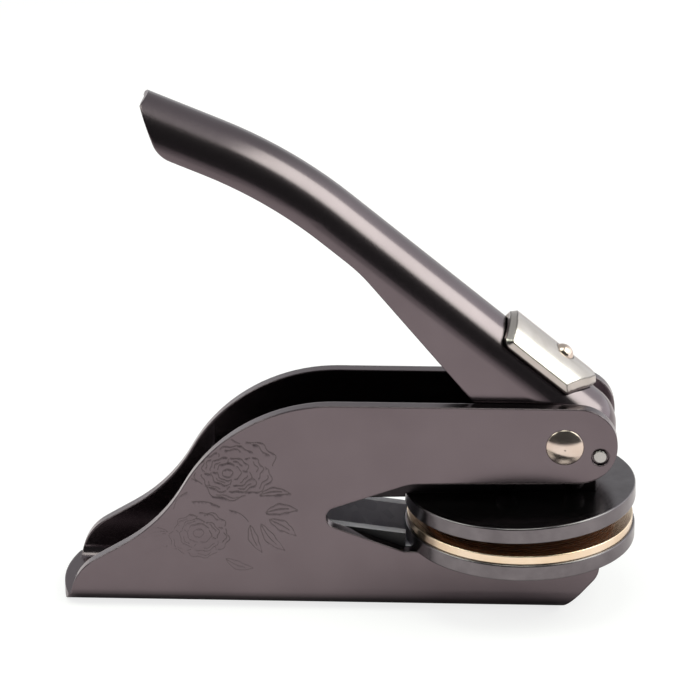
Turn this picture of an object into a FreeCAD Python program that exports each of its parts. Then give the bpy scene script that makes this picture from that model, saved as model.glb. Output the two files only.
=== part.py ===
import FreeCAD, Part
import math
import os
import Sketcher

# Hand-lever seal embosser: folded steel frame, swinging upper die arm, pressed lever and slide lock.
#
# Frame of the part: +X towards the dies, +Z up, Y across the cheeks, origin on the resting plane
# under the middle of the overall length. Lengths are millimetres, angles are degrees.
#
# The dies press shut about one hidden hinge. The lever turns about the pivot pin near the nose, and
# a round lobe on it, set off the pivot axis, pushes the arm down. The arm's pieces are drawn level,
# as they lie with the dies shut, and the lever's pieces are drawn with the straight of the handle
# level; each group is then turned to its rest attitude by its Placement.

os.makedirs("parts", exist_ok=True)
doc = FreeCAD.newDocument("seal_embosser")

SIZES = {
    # folded frame: one steel sheet, two cheeks and a floor
    "frame_width": 26.0,
    "sheet": 3.0,
    "fold_radius": 6.0,
    "cheek_height": 53.85,
    "tail_length": 70.2,
    "tongue_bulge": 2.5,
    "tail_foot": 67.45,
    "tail_corner_back": 66.57,
    "tail_corner_height": 9.37,
    "tail_corner_radius": 13.0,
    "waist_back": 45.0,
    "waist_height": 22.3,
    "waist_share": 0.2924,
    "shoulder_back": 26.9,
    "shoulder_share": 0.6657,
    "nose_reach": 64.6,
    "nose_share": 0.49344,
    "jaw_height": 34.8,
    "jaw_corner_reach": 15.3,
    "jaw_corner_height": 33.9,
    "jaw_corner_radius": 12.0,
    "throat_back": 10.1,
    "throat_height": 24.74,
    "throat_radius": 2.7,
    "ledge_reach": 14.0,
    "ledge_height": 15.95,
    "ledge_radius": 4.0,
    "front_reach": 61.0,
    "front_floor_reach": 52.0,
    "front_corner_height": 10.6,
    "front_corner_radius": 6.0,
    # dies and their holders
    "die_reach": 41.75,
    "holder_diameter": 56.1,
    "holder_thickness": 4.0,
    "die_diameter": 55.0,
    "die_thickness": 2.15,
    "counter_diameter": 46.0,
    "counter_thickness": 1.0,
    "paper_gap": 0.15,
    "holder_screw_spread": 9.0,
    "screw_diameter": 3.0,
    "screw_head_diameter": 5.6,
    "screw_length": 9.0,
    # channel that stands between the cheeks, under the lower die
    "anvil_width": 19.2,
    "anvil_sheet": 2.5,
    "anvil_fold_radius": 3.0,
    "anvil_back": 36.0,
    "anvil_front": 54.0,
    "anvil_step_reach": 14.15,
    "anvil_step_height": 19.3,
    "anvil_throat_back": 6.0,
    "anvil_throat_height": 21.8,
    "ear_height": 31.5,
    "ear_half_width": 6.0,
    "ear_heel_height": 20.0,
    "block_length": 24.0,
    "channel_rivet_diameter": 4.0,
    "channel_rivet_head_diameter": 7.0,
    "channel_rivet_head_height": 1.2,
    "channel_rivet_front": 4.0,
    "channel_rivet_back": 24.0,
    # swinging arm
    "hinge_back": 28.4,
    "hinge_height": 26.0,
    "hinge_pin_diameter": 4.0,
    "hinge_washer_diameter": 8.0,
    "arm_angle": 1.86,
    "arm_width": 13.4,
    "arm_sheet": 2.5,
    "arm_front_inset": 4.6,
    "arm_ear_depth": 4.5,
    "arm_ear_half_width": 5.0,
    "arm_ear_slope": 3.0,
    "arm_skirt_reach": 14.1,
    "arm_skirt_depth": 0.9,
    "arm_block_back": 12.5,
    "arm_block_front": 17.0,
    "arm_rivet_back": 3.35,
    "arm_rivet_front": 13.0,
    "arm_rivet_height": 2.6,
    "arm_rivet_diameter": 3.4,
    "arm_rivet_head_diameter": 5.2,
    "arm_rivet_head_height": 0.9,
    # return spring
    "spring_back": 12.0,
    "spring_wire": 1.2,
    "spring_radius": 3.2,
    "spring_turns": 9.0,
    "post_diameter": 4.6,
    "post_height": 6.0,
    # pivot of the lever and the stop pin in front of it
    "pivot_inset": 12.5,
    "pivot_height": 44.05,
    "pivot_diameter": 6.0,
    "pivot_head_diameter": 9.1,
    "pivot_head_height": 1.6,
    "pivot_washer_diameter": 12.0,
    "stop_pin_inset": 4.1,
    "stop_pin_height": 41.65,
    "stop_pin_diameter": 3.2,
    "stop_recess_diameter": 4.3,
    "stop_recess_depth": 0.9,
    "stop_gap": 0.1,
    # lever
    "lever_angle": 39.58,
    "press_angle": 30.0,
    "lever_width": 19.0,
    "lever_sheet": 1.5,
    "crown_height": 12.2,
    "crown_radius": 9.4,
    "bend_back": 94.05,
    "bend_angle": 17.25,
    "bend_radius": 117.1,
    "handle_depth": 10.65,
    "tip_reach": 36.4,
    "tip_nose_reach": 37.1,
    "tip_nose_drop": 2.0,
    "tip_heel_reach": 28.9,
    "tip_heel_radius": 7.0,
    "root_angle": 10.72,
    "root_drop": 10.5,
    "root_radius": 40.0,
    "lever_nose_reach": 12.5,
    "lever_nose_radius": 10.5,
    "sweep_gap": 0.35,
    "sweep_margin": 13.0,
    # press cam inside the lever
    "lobe_radius": 7.0,
    "hub_radius": 5.3,
    "cam_gap": 0.05,
    "cam_side_gap": 0.55,
    "cam_rivet_diameter": 2.4,
    "cam_rivet_low_back": 8.4,
    "cam_rivet_low_drop": 2.2,
    "cam_rivet_high_back": 3.8,
    "cam_rivet_high_rise": 2.2,
    # slide lock on the lever's crown
    "cover_back": 28.6,
    "cover_back_flat": 2.0,
    "cover_back_edge": 26.9,
    "cover_front": 1.5,
    "cover_front_shoulder": 3.6,
    "cover_front_shoulder_half": 4.0,
    "cover_front_edge": 8.3,
    "cover_half_angle": 51.6,
    "cover_thickness": 2.2,
    "cover_gap": 0.6,
    "cover_shoulder_radius": 5.0,
    "cover_corner_radius": 2.2,
    "cover_crown_radius": 2.5,
    "cover_bevel": 1.2,
    "slot_width": 3.4,
    "slot_end_gap": 0.35,
    "lock_travel": 5.0,
    "plate_thickness": 3.0,
    "plate_back": 8.9,
    "plate_front": 3.3,
    "keeper_back": 17.4,
    "keeper_width": 5.4,
    "keeper_thickness": 1.5,
    "keeper_gap": 0.8,
    "stud_back": 12.5,
    "stud_diameter": 2.4,
    "stud_head_diameter": 5.0,
    "stud_head_height": 1.7,
    "stud_seat_depth": 0.25,
    # fits
    "running_fit": 0.05,
    "side_gap": 0.05,
}

# Places worked out from the sizes. "Size." names a driving cell, "Place." one of these.
PLACES = {
    "half_width": "Size.frame_width / 2",
    "half_gap": "Size.frame_width / 2 - Size.sheet",
    "tongue_radius": "(Size.frame_width ^ 2 / 4 + Size.tongue_bulge ^ 2) / (2 * Size.tongue_bulge)",
    # nose of the cheeks: one round end between the jaw and the top edge
    "nose_radius": "Size.nose_share * (Size.cheek_height - Size.jaw_height)",
    # back edge of the cheeks: one slope between two round bends that share its length
    "slope_run": "Size.waist_back - Size.shoulder_back",
    "slope_rise": "Size.cheek_height - Size.waist_height",
    "slope_length": "sqrt(Place.slope_run ^ 2 + Place.slope_rise ^ 2)",
    "shoulder_radius": "Size.shoulder_share * Place.slope_length * (Place.slope_length + Place.slope_run)"
                       " / Place.slope_rise",
    "tail_turn": "atan(Place.slope_rise / Place.slope_run) - atan((Size.waist_height"
                 " - Size.tail_corner_height) / (Size.tail_corner_back - Size.waist_back))",
    "waist_radius": "Size.waist_share * Place.slope_length / tan(Place.tail_turn / 2)",
    "pivot_reach": "Size.nose_reach - Size.pivot_inset",
    "stop_pin_reach": "Size.nose_reach - Size.stop_pin_inset",
    "lower_holder_top": "Size.ledge_height + Size.holder_thickness",
    "lower_die_top": "Place.lower_holder_top + Size.die_thickness",
    "web_top": "Size.sheet + Size.anvil_sheet",
    "anvil_half": "Size.anvil_width / 2",
    "anvil_inside": "Size.anvil_width / 2 - Size.anvil_sheet",
    "block_half": "Size.anvil_width / 2 - Size.anvil_fold_radius",
    # arm, measured from its hinge with the dies shut
    "arm_underside": "Place.lower_die_top + Size.paper_gap + Size.counter_thickness"
                     " + Size.holder_thickness - Size.hinge_height",
    "arm_die_reach": "Size.die_reach + Size.hinge_back",
    "arm_tip": "Size.nose_reach - Size.arm_front_inset + Size.hinge_back",
    "half_press": "Size.press_angle / 2",
    "lobe_offset": "((Place.pivot_reach + Size.hinge_back) * tan(Size.arm_angle)"
                   " + (Size.pivot_height - Size.hinge_height) * (1 / cos(Size.arm_angle) - 1))"
                   " / (2 * sin(Place.half_press) + cos(Place.half_press) * tan(Size.arm_angle))",
    "arm_top": "Size.pivot_height - Size.hinge_height - Place.lobe_offset * sin(Place.half_press)"
               " - Size.lobe_radius - Size.cam_gap",
    "arm_web_underside": "Place.arm_top - Size.arm_sheet",
    "arm_inside": "Size.arm_width / 2 - Size.arm_sheet",
    "arm_rivet_level": "Place.arm_underside + Size.arm_rivet_height",
    "spring_room": "Size.hinge_height + Place.arm_web_underside * cos(Size.arm_angle)"
                   " + (Size.hinge_back - Size.spring_back - Size.spring_radius) * sin(Size.arm_angle)"
                   " - Place.web_top",
    # lever, measured from its pivot with the crown of the handle level
    "lever_half": "Size.lever_width / 2",
    "lever_inside": "Size.lever_width / 2 - Size.lever_sheet",
    "handle_floor": "Size.crown_height - Size.handle_depth",
    "lower_bend": "-Size.bend_back + Size.handle_depth * tan(Size.bend_angle / 2)",
    "inner_bend": "-Size.bend_back + Size.lever_sheet * tan(Size.bend_angle / 2)",
    "root_back": "-(Size.root_drop + Place.handle_floor * cos(Size.root_angle)) / sin(Size.root_angle)",
    "nose_corner": "(Size.lever_nose_reach - Size.crown_height * sin(Size.lever_angle))"
                   " / cos(Size.lever_angle)",
    "stop_edge": "Size.pivot_height - Size.stop_pin_height - Size.stop_pin_diameter / 2 - Size.stop_gap",
    "pin_distance": "sqrt((Place.stop_pin_reach - Place.pivot_reach) ^ 2"
                    " + (Size.pivot_height - Size.stop_pin_height) ^ 2)",
    "pin_angle": "asin((Size.pivot_height - Size.stop_pin_height) / Place.pin_distance) / 1 deg",
    "wall_radius": "Place.pin_distance - Size.stop_pin_diameter / 2 - Size.sweep_gap",
    "sweep_end": "Place.pin_angle + Size.press_angle + Size.sweep_margin",
    "crown_centre": "Size.crown_height - Size.lever_width / 2",
    "cover_inside": "Size.lever_width / 2 + Size.cover_gap",
    "cover_outside": "Place.cover_inside + Size.cover_thickness",
    "cover_crest": "Place.crown_centre + Place.cover_outside",
    "cover_edge_half": "Place.cover_outside * sin(Size.cover_half_angle)",
    "plate_top": "Place.crown_centre + sqrt(Place.cover_inside ^ 2 - Size.plate_thickness ^ 2 / 4)",
    "keeper_top": "Size.crown_height - Size.lever_sheet - Size.keeper_gap",
}


def fill_sheet(name, cells, prefix=""):
    """Write one alias and one cell per entry into a new spreadsheet."""
    sheet = doc.addObject("Spreadsheet::Sheet", name)
    for row, (alias, content) in enumerate(cells.items(), 1):
        sheet.set(f"A{row}", alias)
        sheet.set(f"B{row}", f"{prefix}{content}")
        sheet.setAlias(f"B{row}", alias)
    return sheet


size_sheet = fill_sheet("Size", SIZES)
doc.recompute()
fill_sheet("Place", {alias: formula.replace("Place.", "") for alias, formula in PLACES.items()}, "=")
doc.recompute()


def number(expression):
    """Value of an expression in the document's cells, as a plain number."""
    return float(size_sheet.evalExpression(str(expression)))


def bind(item, **expressions):
    """Bind properties to cells; a double underscore in a keyword stands for a dot."""
    for prop, expression in expressions.items():
        item.setExpression(prop.replace("__", "."), str(expression))
    return item


def turned(a, b, angle):
    """Expressions of the point (a, b) turned by an angle about the lever's cross axis."""
    return (f"({a}) * cos({angle}) - ({b}) * sin({angle})", f"({a}) * sin({angle}) + ({b}) * cos({angle})")


# ---------------------------------------------------------------- sketches and bodies

def new_body(label):
    """Empty PartDesign body with its label."""
    body = doc.addObject("PartDesign::Body", label)
    body.Label = label
    return body


def outline(body, plane, vertices):
    """Closed straight-sided sketch on an origin plane; each vertex is a pair of expressions."""
    sketch = body.newObject("Sketcher::SketchObject", f"{body.Name}_outline")
    sketch.AttachmentSupport = [([part for part in body.Origin.OriginFeatures if part.Role == plane][0], "")]
    sketch.MapMode = "FlatFace"
    points = [FreeCAD.Vector(number(across), number(up), 0) for across, up in vertices]
    count = len(points)
    for index in range(count):
        sketch.addGeometry(Part.LineSegment(points[index], points[(index + 1) % count]))
    for index in range(count):
        sketch.addConstraint(Sketcher.Constraint("Coincident", index, 2, (index + 1) % count, 1))
    for index, vertex in enumerate(vertices):
        for direction, expression in zip(("DistanceX", "DistanceY"), vertex):
            name = sketch.addConstraint(Sketcher.Constraint(direction, index, 1, number(expression)))
            sketch.setExpression(f"Constraints[{name}]", str(expression))
    doc.recompute()
    return sketch


def pad(body, plane, vertices, length, both_ways=True):
    """Pad an outline, evenly to both sides of its plane unless told otherwise."""
    feature = body.newObject("PartDesign::Pad", f"{body.Name}_pad")
    feature.Profile = outline(body, plane, vertices)
    feature.SideType = "Symmetric" if both_ways else "One side"
    bind(feature, Length=length)
    doc.recompute()
    return feature


def pocket(body, plane, vertices, length):
    """Cut an outline out of the body, evenly to both sides of its plane."""
    feature = body.newObject("PartDesign::Pocket", f"{body.Name}_pocket")
    feature.Profile = outline(body, plane, vertices)
    feature.SideType = "Symmetric"
    bind(feature, Length=length)
    doc.recompute()
    return feature


def round_edges(body, wanted, radius):
    """Fillet every edge of the body for which wanted(edge) holds."""
    base = body.Tip
    names = [f"Edge{index}" for index, edge in enumerate(base.Shape.Edges, 1) if wanted(edge)]
    if not names:
        raise RuntimeError(f"{body.Label}: no edge to round by {radius}")
    feature = body.newObject("PartDesign::Fillet", f"{body.Name}_round")
    feature.Base = (base, names)
    bind(feature, Radius=radius)
    doc.recompute()
    return feature


def round_corner(body, across, up, radius):
    """Fillet the edge that crosses the sheet at one corner of an XZ outline."""
    corner_x = number(across)
    corner_z = number(up)

    def at_corner(edge):
        return all(abs(v.X - corner_x) < 1e-3 and abs(v.Z - corner_z) < 1e-3 for v in edge.Vertexes)

    return round_edges(body, at_corner, radius)


def channel(label, width, height, sheet, fold, start, end, floor="0"):
    """Upright U channel along X: the floor's underside at one height, both flanges up from it."""
    body = new_body(label)
    half = f"({width}) / 2"
    inner = f"({width}) / 2 - {sheet}"
    top = f"({floor}) + {height}"
    shelf = f"({floor}) + {sheet}"
    pad(body, "YZ_Plane", [
        (f"-({half})", floor), (half, floor), (half, top), (inner, top),
        (inner, shelf), (f"-({inner})", shelf), (f"-({inner})", top), (f"-({half})", top),
    ], f"({end}) - ({start})", both_ways=False)
    for level, depth, radius in ((number(floor), number(half), fold),
                                 (number(shelf), number(inner), f"({fold}) - ({sheet})")):
        def along_fold(edge, z=level, y=depth):
            return all(abs(v.Z - z) < 1e-3 and abs(abs(v.Y) - y) < 1e-3 for v in edge.Vertexes) \
                and abs(edge.Vertexes[0].X - edge.Vertexes[-1].X) > 1e-3
        round_edges(body, along_fold, radius)
    return bind(body, Placement__Base__x=start)


# ---------------------------------------------------------------- primitives and booleans

def block(label, x, y, z, length, width, height):
    """Box from its low corner and its three sides, all as expressions."""
    item = doc.addObject("Part::Box", label)
    item.Label = label
    return bind(item, Placement__Base__x=x, Placement__Base__y=y, Placement__Base__z=z,
                Length=length, Width=width, Height=height)


def post(label, x, y, z, radius, height):
    """Cylinder standing along Z on the point given."""
    item = doc.addObject("Part::Cylinder", label)
    item.Label = label
    return bind(item, Placement__Base__x=x, Placement__Base__y=y, Placement__Base__z=z,
                Radius=radius, Height=height)


def axle(label, x, z, radius, y_from, y_to):
    """Cylinder lying along +Y at one X and Z."""
    item = doc.addObject("Part::Cylinder", label)
    item.Label = label
    item.Placement = FreeCAD.Placement(FreeCAD.Vector(), FreeCAD.Rotation(FreeCAD.Vector(1, 0, 0), -90))
    return bind(item, Placement__Base__x=x, Placement__Base__y=y_from, Placement__Base__z=z,
                Radius=radius, Height=f"({y_to}) - ({y_from})")


def dome(label, x, y, z, diameter, height, axis):
    """Low spherical cap that stands on a disc; axis is the way it bulges."""
    item = doc.addObject("Part::Sphere", label)
    item.Label = label
    ball = f"(({diameter}) ^ 2 / 4 + ({height}) ^ 2) / (2 * ({height}))"
    radius = number(ball)
    sink = radius - number(height)
    bind(item, Radius=ball, Angle1=f"asin(1 - ({height}) / ({ball}))")
    centre = FreeCAD.Vector(number(x), number(y), number(z)) - FreeCAD.Vector(*axis) * sink
    turn = FreeCAD.Rotation(FreeCAD.Vector(0, 0, 1), FreeCAD.Vector(*axis))
    item.Placement = FreeCAD.Placement(centre, turn)
    return item


def fuse(label, items):
    """One solid from several that touch or overlap."""
    item = doc.addObject("Part::MultiFuse", label)
    item.Label = label
    item.Shapes = items
    item.Refine = True
    return item


def common(label, items):
    """What several solids share."""
    item = doc.addObject("Part::MultiCommon", label)
    item.Label = label
    item.Shapes = items
    return item


def cut(label, base, tools):
    """A solid with one or more tools taken out."""
    item = doc.addObject("Part::Cut", label)
    item.Label = label
    item.Base = base
    item.Tool = tools[0] if len(tools) == 1 else fuse(f"{label}_tools", tools)
    return item


def group(label, items):
    """Separate solids that share one node."""
    item = doc.addObject("Part::Compound", label)
    item.Label = label
    item.Links = items
    return item


def on_lever(item):
    """Turn a piece from the handle-level attitude to the rest attitude about the pivot."""
    item.Placement = FreeCAD.Placement(FreeCAD.Vector(), FreeCAD.Rotation(FreeCAD.Vector(0, 1, 0), 1))
    return bind(item, Placement__Base__x="Place.pivot_reach", Placement__Base__z="Size.pivot_height",
                Placement__Rotation__Angle="Size.lever_angle")


def on_arm(item):
    """Open a piece of the arm from the shut attitude to the rest attitude about the hinge."""
    item.Placement = FreeCAD.Placement(FreeCAD.Vector(), FreeCAD.Rotation(FreeCAD.Vector(0, -1, 0), 1))
    return bind(item, Placement__Base__x="-Size.hinge_back", Placement__Base__z="Size.hinge_height",
                Placement__Rotation__Angle="Size.arm_angle")


def screw(label, x, z, slack="0"):
    """Countersunk screw with its head level with z and its shank down; slack widens it for a hole."""
    head = doc.addObject("Part::Cone", f"{label}_head")
    rise = "(Size.screw_head_diameter - Size.screw_diameter) / 2"
    bind(head, Radius1=f"Size.screw_diameter / 2 + {slack}",
         Radius2=f"Size.screw_head_diameter / 2 + {slack}", Height=rise,
         Placement__Base__x=x, Placement__Base__z=f"({z}) - {rise}")
    shank = post(f"{label}_shank", x, "0", f"({z}) - Size.screw_length - {slack}",
                 f"Size.screw_diameter / 2 + {slack}", f"Size.screw_length + {slack} - {rise}")
    return fuse(label, [head, shank])


# ---------------------------------------------------------------- folded frame

def frame_body():
    """Folded sheet: U section, side outline with the throat cut in, rounded tail tongue, bores."""
    blank = channel("frame_blank", "Size.frame_width", "Size.cheek_height", "Size.sheet",
                    "Size.fold_radius", "-Size.tail_length", "Size.nose_reach")
    side = new_body("frame_side")
    pad(side, "XZ_Plane", [
        ("-Size.tail_length", "0"),
        ("Size.front_floor_reach", "0"),
        ("Size.front_reach", "Size.front_corner_height"),
        ("Size.front_reach", "Size.ledge_height"),
        ("Size.ledge_reach", "Size.ledge_height"),
        ("-Size.throat_back", "Size.throat_height"),
        ("Size.jaw_corner_reach", "Size.jaw_corner_height"),
        ("Size.nose_reach", "Size.jaw_height"),
        ("Size.nose_reach", "Size.cheek_height"),
        ("-Size.shoulder_back", "Size.cheek_height"),
        ("-Size.waist_back", "Size.waist_height"),
        ("-Size.tail_corner_back", "Size.tail_corner_height"),
        ("-Size.tail_foot", "Size.sheet"),
        ("-Size.tail_length", "Size.sheet"),
    ], "Size.frame_width + 2")
    for across, up, radius in (
            ("Size.front_reach", "Size.front_corner_height", "Size.front_corner_radius"),
            ("Size.ledge_reach", "Size.ledge_height", "Size.ledge_radius"),
            ("-Size.throat_back", "Size.throat_height", "Size.throat_radius"),
            ("Size.jaw_corner_reach", "Size.jaw_corner_height", "Size.jaw_corner_radius"),
            ("Size.nose_reach", "Size.jaw_height", "Place.nose_radius"),
            ("Size.nose_reach", "Size.cheek_height", "Place.nose_radius"),
            ("-Size.shoulder_back", "Size.cheek_height", "Place.shoulder_radius"),
            ("-Size.waist_back", "Size.waist_height", "Place.waist_radius"),
            ("-Size.tail_corner_back", "Size.tail_corner_height", "Size.tail_corner_radius")):
        round_corner(side, across, up, radius)
    plan_round = post("frame_plan_round", "Place.tongue_radius - Size.tail_length", "0", "0",
                      "Place.tongue_radius", "Size.cheek_height")
    plan_front = block("frame_plan_front", "Size.tongue_bulge - Size.tail_length", "-Place.half_width", "0",
                       "Size.nose_reach + Size.tail_length", "Size.frame_width", "Size.cheek_height")
    shell = common("frame_shell", [blank, side, fuse("frame_plan", [plan_round, plan_front])])
    across = {"y_from": "-Place.half_width - 1", "y_to": "Place.half_width + 1"}
    recess = "Place.half_width - Size.stop_recess_depth"
    stop = ("Place.stop_pin_reach", "Size.stop_pin_height")
    tools = [
        axle("pivot_bore", "Place.pivot_reach", "Size.pivot_height",
             "Size.pivot_diameter / 2 + Size.running_fit", **across),
        axle("stop_bore", *stop, "Size.stop_pin_diameter / 2", **across),
        axle("stop_recess_left", *stop, "Size.stop_recess_diameter / 2", recess, across["y_to"]),
        axle("stop_recess_right", *stop, "Size.stop_recess_diameter / 2", across["y_from"], f"-({recess})"),
    ]
    for label, x in (("floor_bore_front", "Size.channel_rivet_front"),
                     ("floor_bore_back", "-Size.channel_rivet_back")):
        tools.append(post(label, x, "0", "-1", "Size.channel_rivet_diameter / 2", "Size.sheet + 2"))
    return cut("frame_body", shell, tools)


# ---------------------------------------------------------------- channel, dies and fixed fasteners

def anvil_channel():
    """Inner channel on the floor: low under the die, stepped up behind it, ears for the hinge pin."""
    blank = channel("anvil_blank", "Size.anvil_width", "Size.ear_height - Size.sheet", "Size.anvil_sheet",
                    "Size.anvil_fold_radius", "-Size.anvil_back", "Size.anvil_front", "Size.sheet")
    side = new_body("anvil_side")
    pad(side, "XZ_Plane", [
        ("-Size.anvil_back", "0"),
        ("Size.anvil_front", "0"),
        ("Size.anvil_front", "Size.ledge_height"),
        ("Size.anvil_step_reach", "Size.ledge_height"),
        ("Size.anvil_step_reach", "Size.anvil_step_height"),
        ("-Size.anvil_throat_back", "Size.anvil_throat_height"),
        ("-Size.hinge_back + Size.ear_half_width", "Size.ear_height"),
        ("-Size.hinge_back - Size.ear_half_width", "Size.ear_height"),
        ("-Size.anvil_back", "Size.ear_heel_height"),
    ], "Size.frame_width")
    tools = [axle("ear_bore", "-Size.hinge_back", "Size.hinge_height", "Size.hinge_pin_diameter / 2",
                  "-Size.frame_width", "Size.frame_width")]
    for label, x in (("web_bore_front", "Size.channel_rivet_front"),
                     ("web_bore_back", "-Size.channel_rivet_back"),
                     ("web_bore_spring", "-Size.spring_back")):
        tools.append(post(label, x, "0", "0", "Size.channel_rivet_diameter / 2", "Size.ledge_height"))
    return cut("anvil_channel", common("anvil_shell", [blank, side]), tools)


def channel_rivets():
    """Two rivets that hold the channel to the floor, flush below and headed above the web."""
    rivets = []
    for name, x in (("front", "Size.channel_rivet_front"), ("back", "-Size.channel_rivet_back")):
        shank = post(f"channel_rivet_{name}_shank", x, "0", "0",
                     "Size.channel_rivet_diameter / 2", "Place.web_top")
        head = dome(f"channel_rivet_{name}_head", x, "0", "Place.web_top", "Size.channel_rivet_head_diameter",
                    "Size.channel_rivet_head_height", (0, 0, 1))
        rivets.append(fuse(f"channel_rivet_{name}", [shank, head]))
    return group("channel_rivets", rivets)


def anvil_block():
    """Solid block that carries the lower holder on the channel's web, tapped for its screws."""
    body = block("anvil_block_blank", "Size.die_reach - Size.block_length / 2", "-Place.block_half",
                 "Place.web_top", "Size.block_length", "2 * Place.block_half",
                 "Size.ledge_height - Place.web_top")
    holes = [screw(f"block_hole_{name}", f"Size.die_reach {sign} Size.holder_screw_spread",
                   "Place.lower_holder_top", "0.02") for name, sign in (("front", "+"), ("back", "-"))]
    return cut("anvil_block", body, holes)


def lower_die_holder():
    """Round plate on the cheeks' ledge, with two countersunk holes under the die."""
    disc = post("lower_holder_disc", "Size.die_reach", "0", "Size.ledge_height",
                "Size.holder_diameter / 2", "Size.holder_thickness")
    holes = [screw(f"lower_holder_hole_{name}", f"Size.die_reach {sign} Size.holder_screw_spread",
                   "Place.lower_holder_top", "Size.running_fit")
             for name, sign in (("front", "+"), ("back", "-"))]
    return cut("lower_die_holder", disc, holes)


def lower_die():
    """Brass die plate, its engraved field left blank."""
    return post("lower_die", "Size.die_reach", "0", "Place.lower_holder_top",
                "Size.die_diameter / 2", "Size.die_thickness")


def lower_holder_screws():
    """Two countersunk screws that clamp the lower holder to the block."""
    return group("lower_holder_screws", [
        screw(f"lower_screw_{name}", f"Size.die_reach {sign} Size.holder_screw_spread",
              "Place.lower_holder_top")
        for name, sign in (("front", "+"), ("back", "-"))])


def pivot_pin():
    """Shank through both cheeks with a polished low dome on each end."""
    x, z = "Place.pivot_reach", "Size.pivot_height"
    shank = axle("pivot_shank", x, z, "Size.pivot_diameter / 2", "-Place.half_width", "Place.half_width")
    heads = [dome(f"pivot_head_{name}", x, f"{sign}Place.half_width", z, "Size.pivot_head_diameter",
                  "Size.pivot_head_height", (0, way, 0))
             for name, sign, way in (("left", "", 1), ("right", "-", -1))]
    return fuse("pivot_pin", [shank] + heads)


def washers(label, x, z, diameter, bore, inner_face, outer_face):
    """Pair of thin washers on one cross pin, one each side of the mid-plane."""
    rings = []
    for name, low, high in (("left", inner_face, outer_face),
                            ("right", f"-({outer_face})", f"-({inner_face})")):
        disc = axle(f"{label}_{name}_disc", x, z, f"({diameter}) / 2", f"({low}) + Size.side_gap",
                    f"({high}) - Size.side_gap")
        hole = axle(f"{label}_{name}_hole", x, z, f"({bore}) / 2 + Size.running_fit",
                    f"({low}) - 1", f"({high}) + 1")
        rings.append(cut(f"{label}_{name}", disc, [hole]))
    return group(label, rings)


def stop_pin():
    """Short pin across the nose, its ends level with the cheeks."""
    return axle("stop_pin", "Place.stop_pin_reach", "Size.stop_pin_height", "Size.stop_pin_diameter / 2",
                "-Place.half_width", "Place.half_width")


def hinge_pin():
    """Pin of the arm, held in the channel's ears."""
    return axle("hinge_pin", "-Size.hinge_back", "Size.hinge_height", "Size.hinge_pin_diameter / 2",
                "-Place.anvil_half", "Place.anvil_half")


def spring_post():
    """Riveted stud that keeps the return spring in place on the web."""
    shank = post("spring_post_shank", "-Size.spring_back", "0", "Size.sheet",
                 "Size.channel_rivet_diameter / 2", "Size.anvil_sheet")
    stud = post("spring_post_stud", "-Size.spring_back", "0", "Place.web_top",
                "Size.post_diameter / 2", "Size.post_height")
    return fuse("spring_post", [shank, stud])


def return_spring():
    """Compression coil between the channel's web and the web of the arm."""
    rise = "Place.spring_room - Size.spring_wire - 2 * Size.side_gap"
    spine = bind(doc.addObject("Part::Helix", "spring_spine"), Radius="Size.spring_radius", Height=rise,
                 Pitch=f"({rise}) / Size.spring_turns")
    wire = bind(doc.addObject("Part::Circle", "spring_wire"), Radius="Size.spring_wire / 2",
                Placement__Base__x="Size.spring_radius")
    wire.Placement.Rotation = FreeCAD.Rotation(FreeCAD.Vector(1, 0, 0), 90)
    doc.recompute()
    coil = doc.addObject("Part::Sweep", "return_spring")
    coil.Label = "return_spring"
    coil.Sections = [wire]
    coil.Spine = (spine, [f"Edge{index}" for index in range(1, len(spine.Shape.Edges) + 1)])
    coil.Solid = True
    coil.Frenet = True
    return bind(coil, Placement__Base__x="-Size.spring_back",
                Placement__Base__z="Place.web_top + Size.spring_wire / 2 + Size.side_gap")


# ---------------------------------------------------------------- arm, drawn with the dies shut

def upper_arm():
    """Inverted channel from the hinge to the nose, deeper round the hinge pin and behind the dies."""
    body = new_body("upper_arm_blank")
    skirt = "Place.arm_underside - Size.arm_skirt_depth"
    skirt_end = "Size.arm_skirt_reach + Size.hinge_back"
    pad(body, "XZ_Plane", [
        ("-Size.arm_ear_half_width", "-Size.arm_ear_depth"),
        ("Size.arm_ear_half_width", "-Size.arm_ear_depth"),
        ("Size.arm_ear_half_width + Size.arm_ear_slope", skirt),
        (skirt_end, skirt),
        (skirt_end, "Place.arm_underside"),
        ("Place.arm_tip", "Place.arm_underside"),
        ("Place.arm_tip", "Place.arm_top"),
        ("-Size.arm_ear_half_width", "Place.arm_top"),
    ], "Size.arm_width")

    def fold(edge):
        return all(abs(v.Z - number("Place.arm_top")) < 1e-3 for v in edge.Vertexes) \
            and all(abs(abs(v.Y) - number("Size.arm_width") / 2) < 1e-3 for v in edge.Vertexes) \
            and abs(edge.Vertexes[0].X - edge.Vertexes[-1].X) > 1
    round_edges(body, fold, "Size.arm_sheet")
    hollow = block("arm_hollow", "-Size.arm_ear_half_width - 1", "-Place.arm_inside",
                   "-Size.arm_ear_depth - 1",
                   "Place.arm_tip + Size.arm_ear_half_width + 2", "2 * Place.arm_inside",
                   "Place.arm_web_underside + Size.arm_ear_depth + 1")
    width = {"y_from": "-Size.arm_width", "y_to": "Size.arm_width"}
    tools = [hollow, axle("arm_hinge_bore", "0", "0",
                          "Size.hinge_pin_diameter / 2 + Size.running_fit", **width)]
    for name, x in ARM_RIVETS:
        tools.append(axle(f"arm_rivet_bore_{name}", x, "Place.arm_rivet_level",
                          "Size.arm_rivet_diameter / 2", **width))
    return on_arm(cut("upper_arm", body, tools))


ARM_RIVETS = (("front", "Place.arm_die_reach + Size.arm_rivet_front"),
              ("back", "Place.arm_die_reach - Size.arm_rivet_back"))
ARM_SCREWS = (("front", "Place.arm_die_reach + Size.holder_screw_spread"),
              ("back", "Place.arm_die_reach - Size.holder_screw_spread"))


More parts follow.
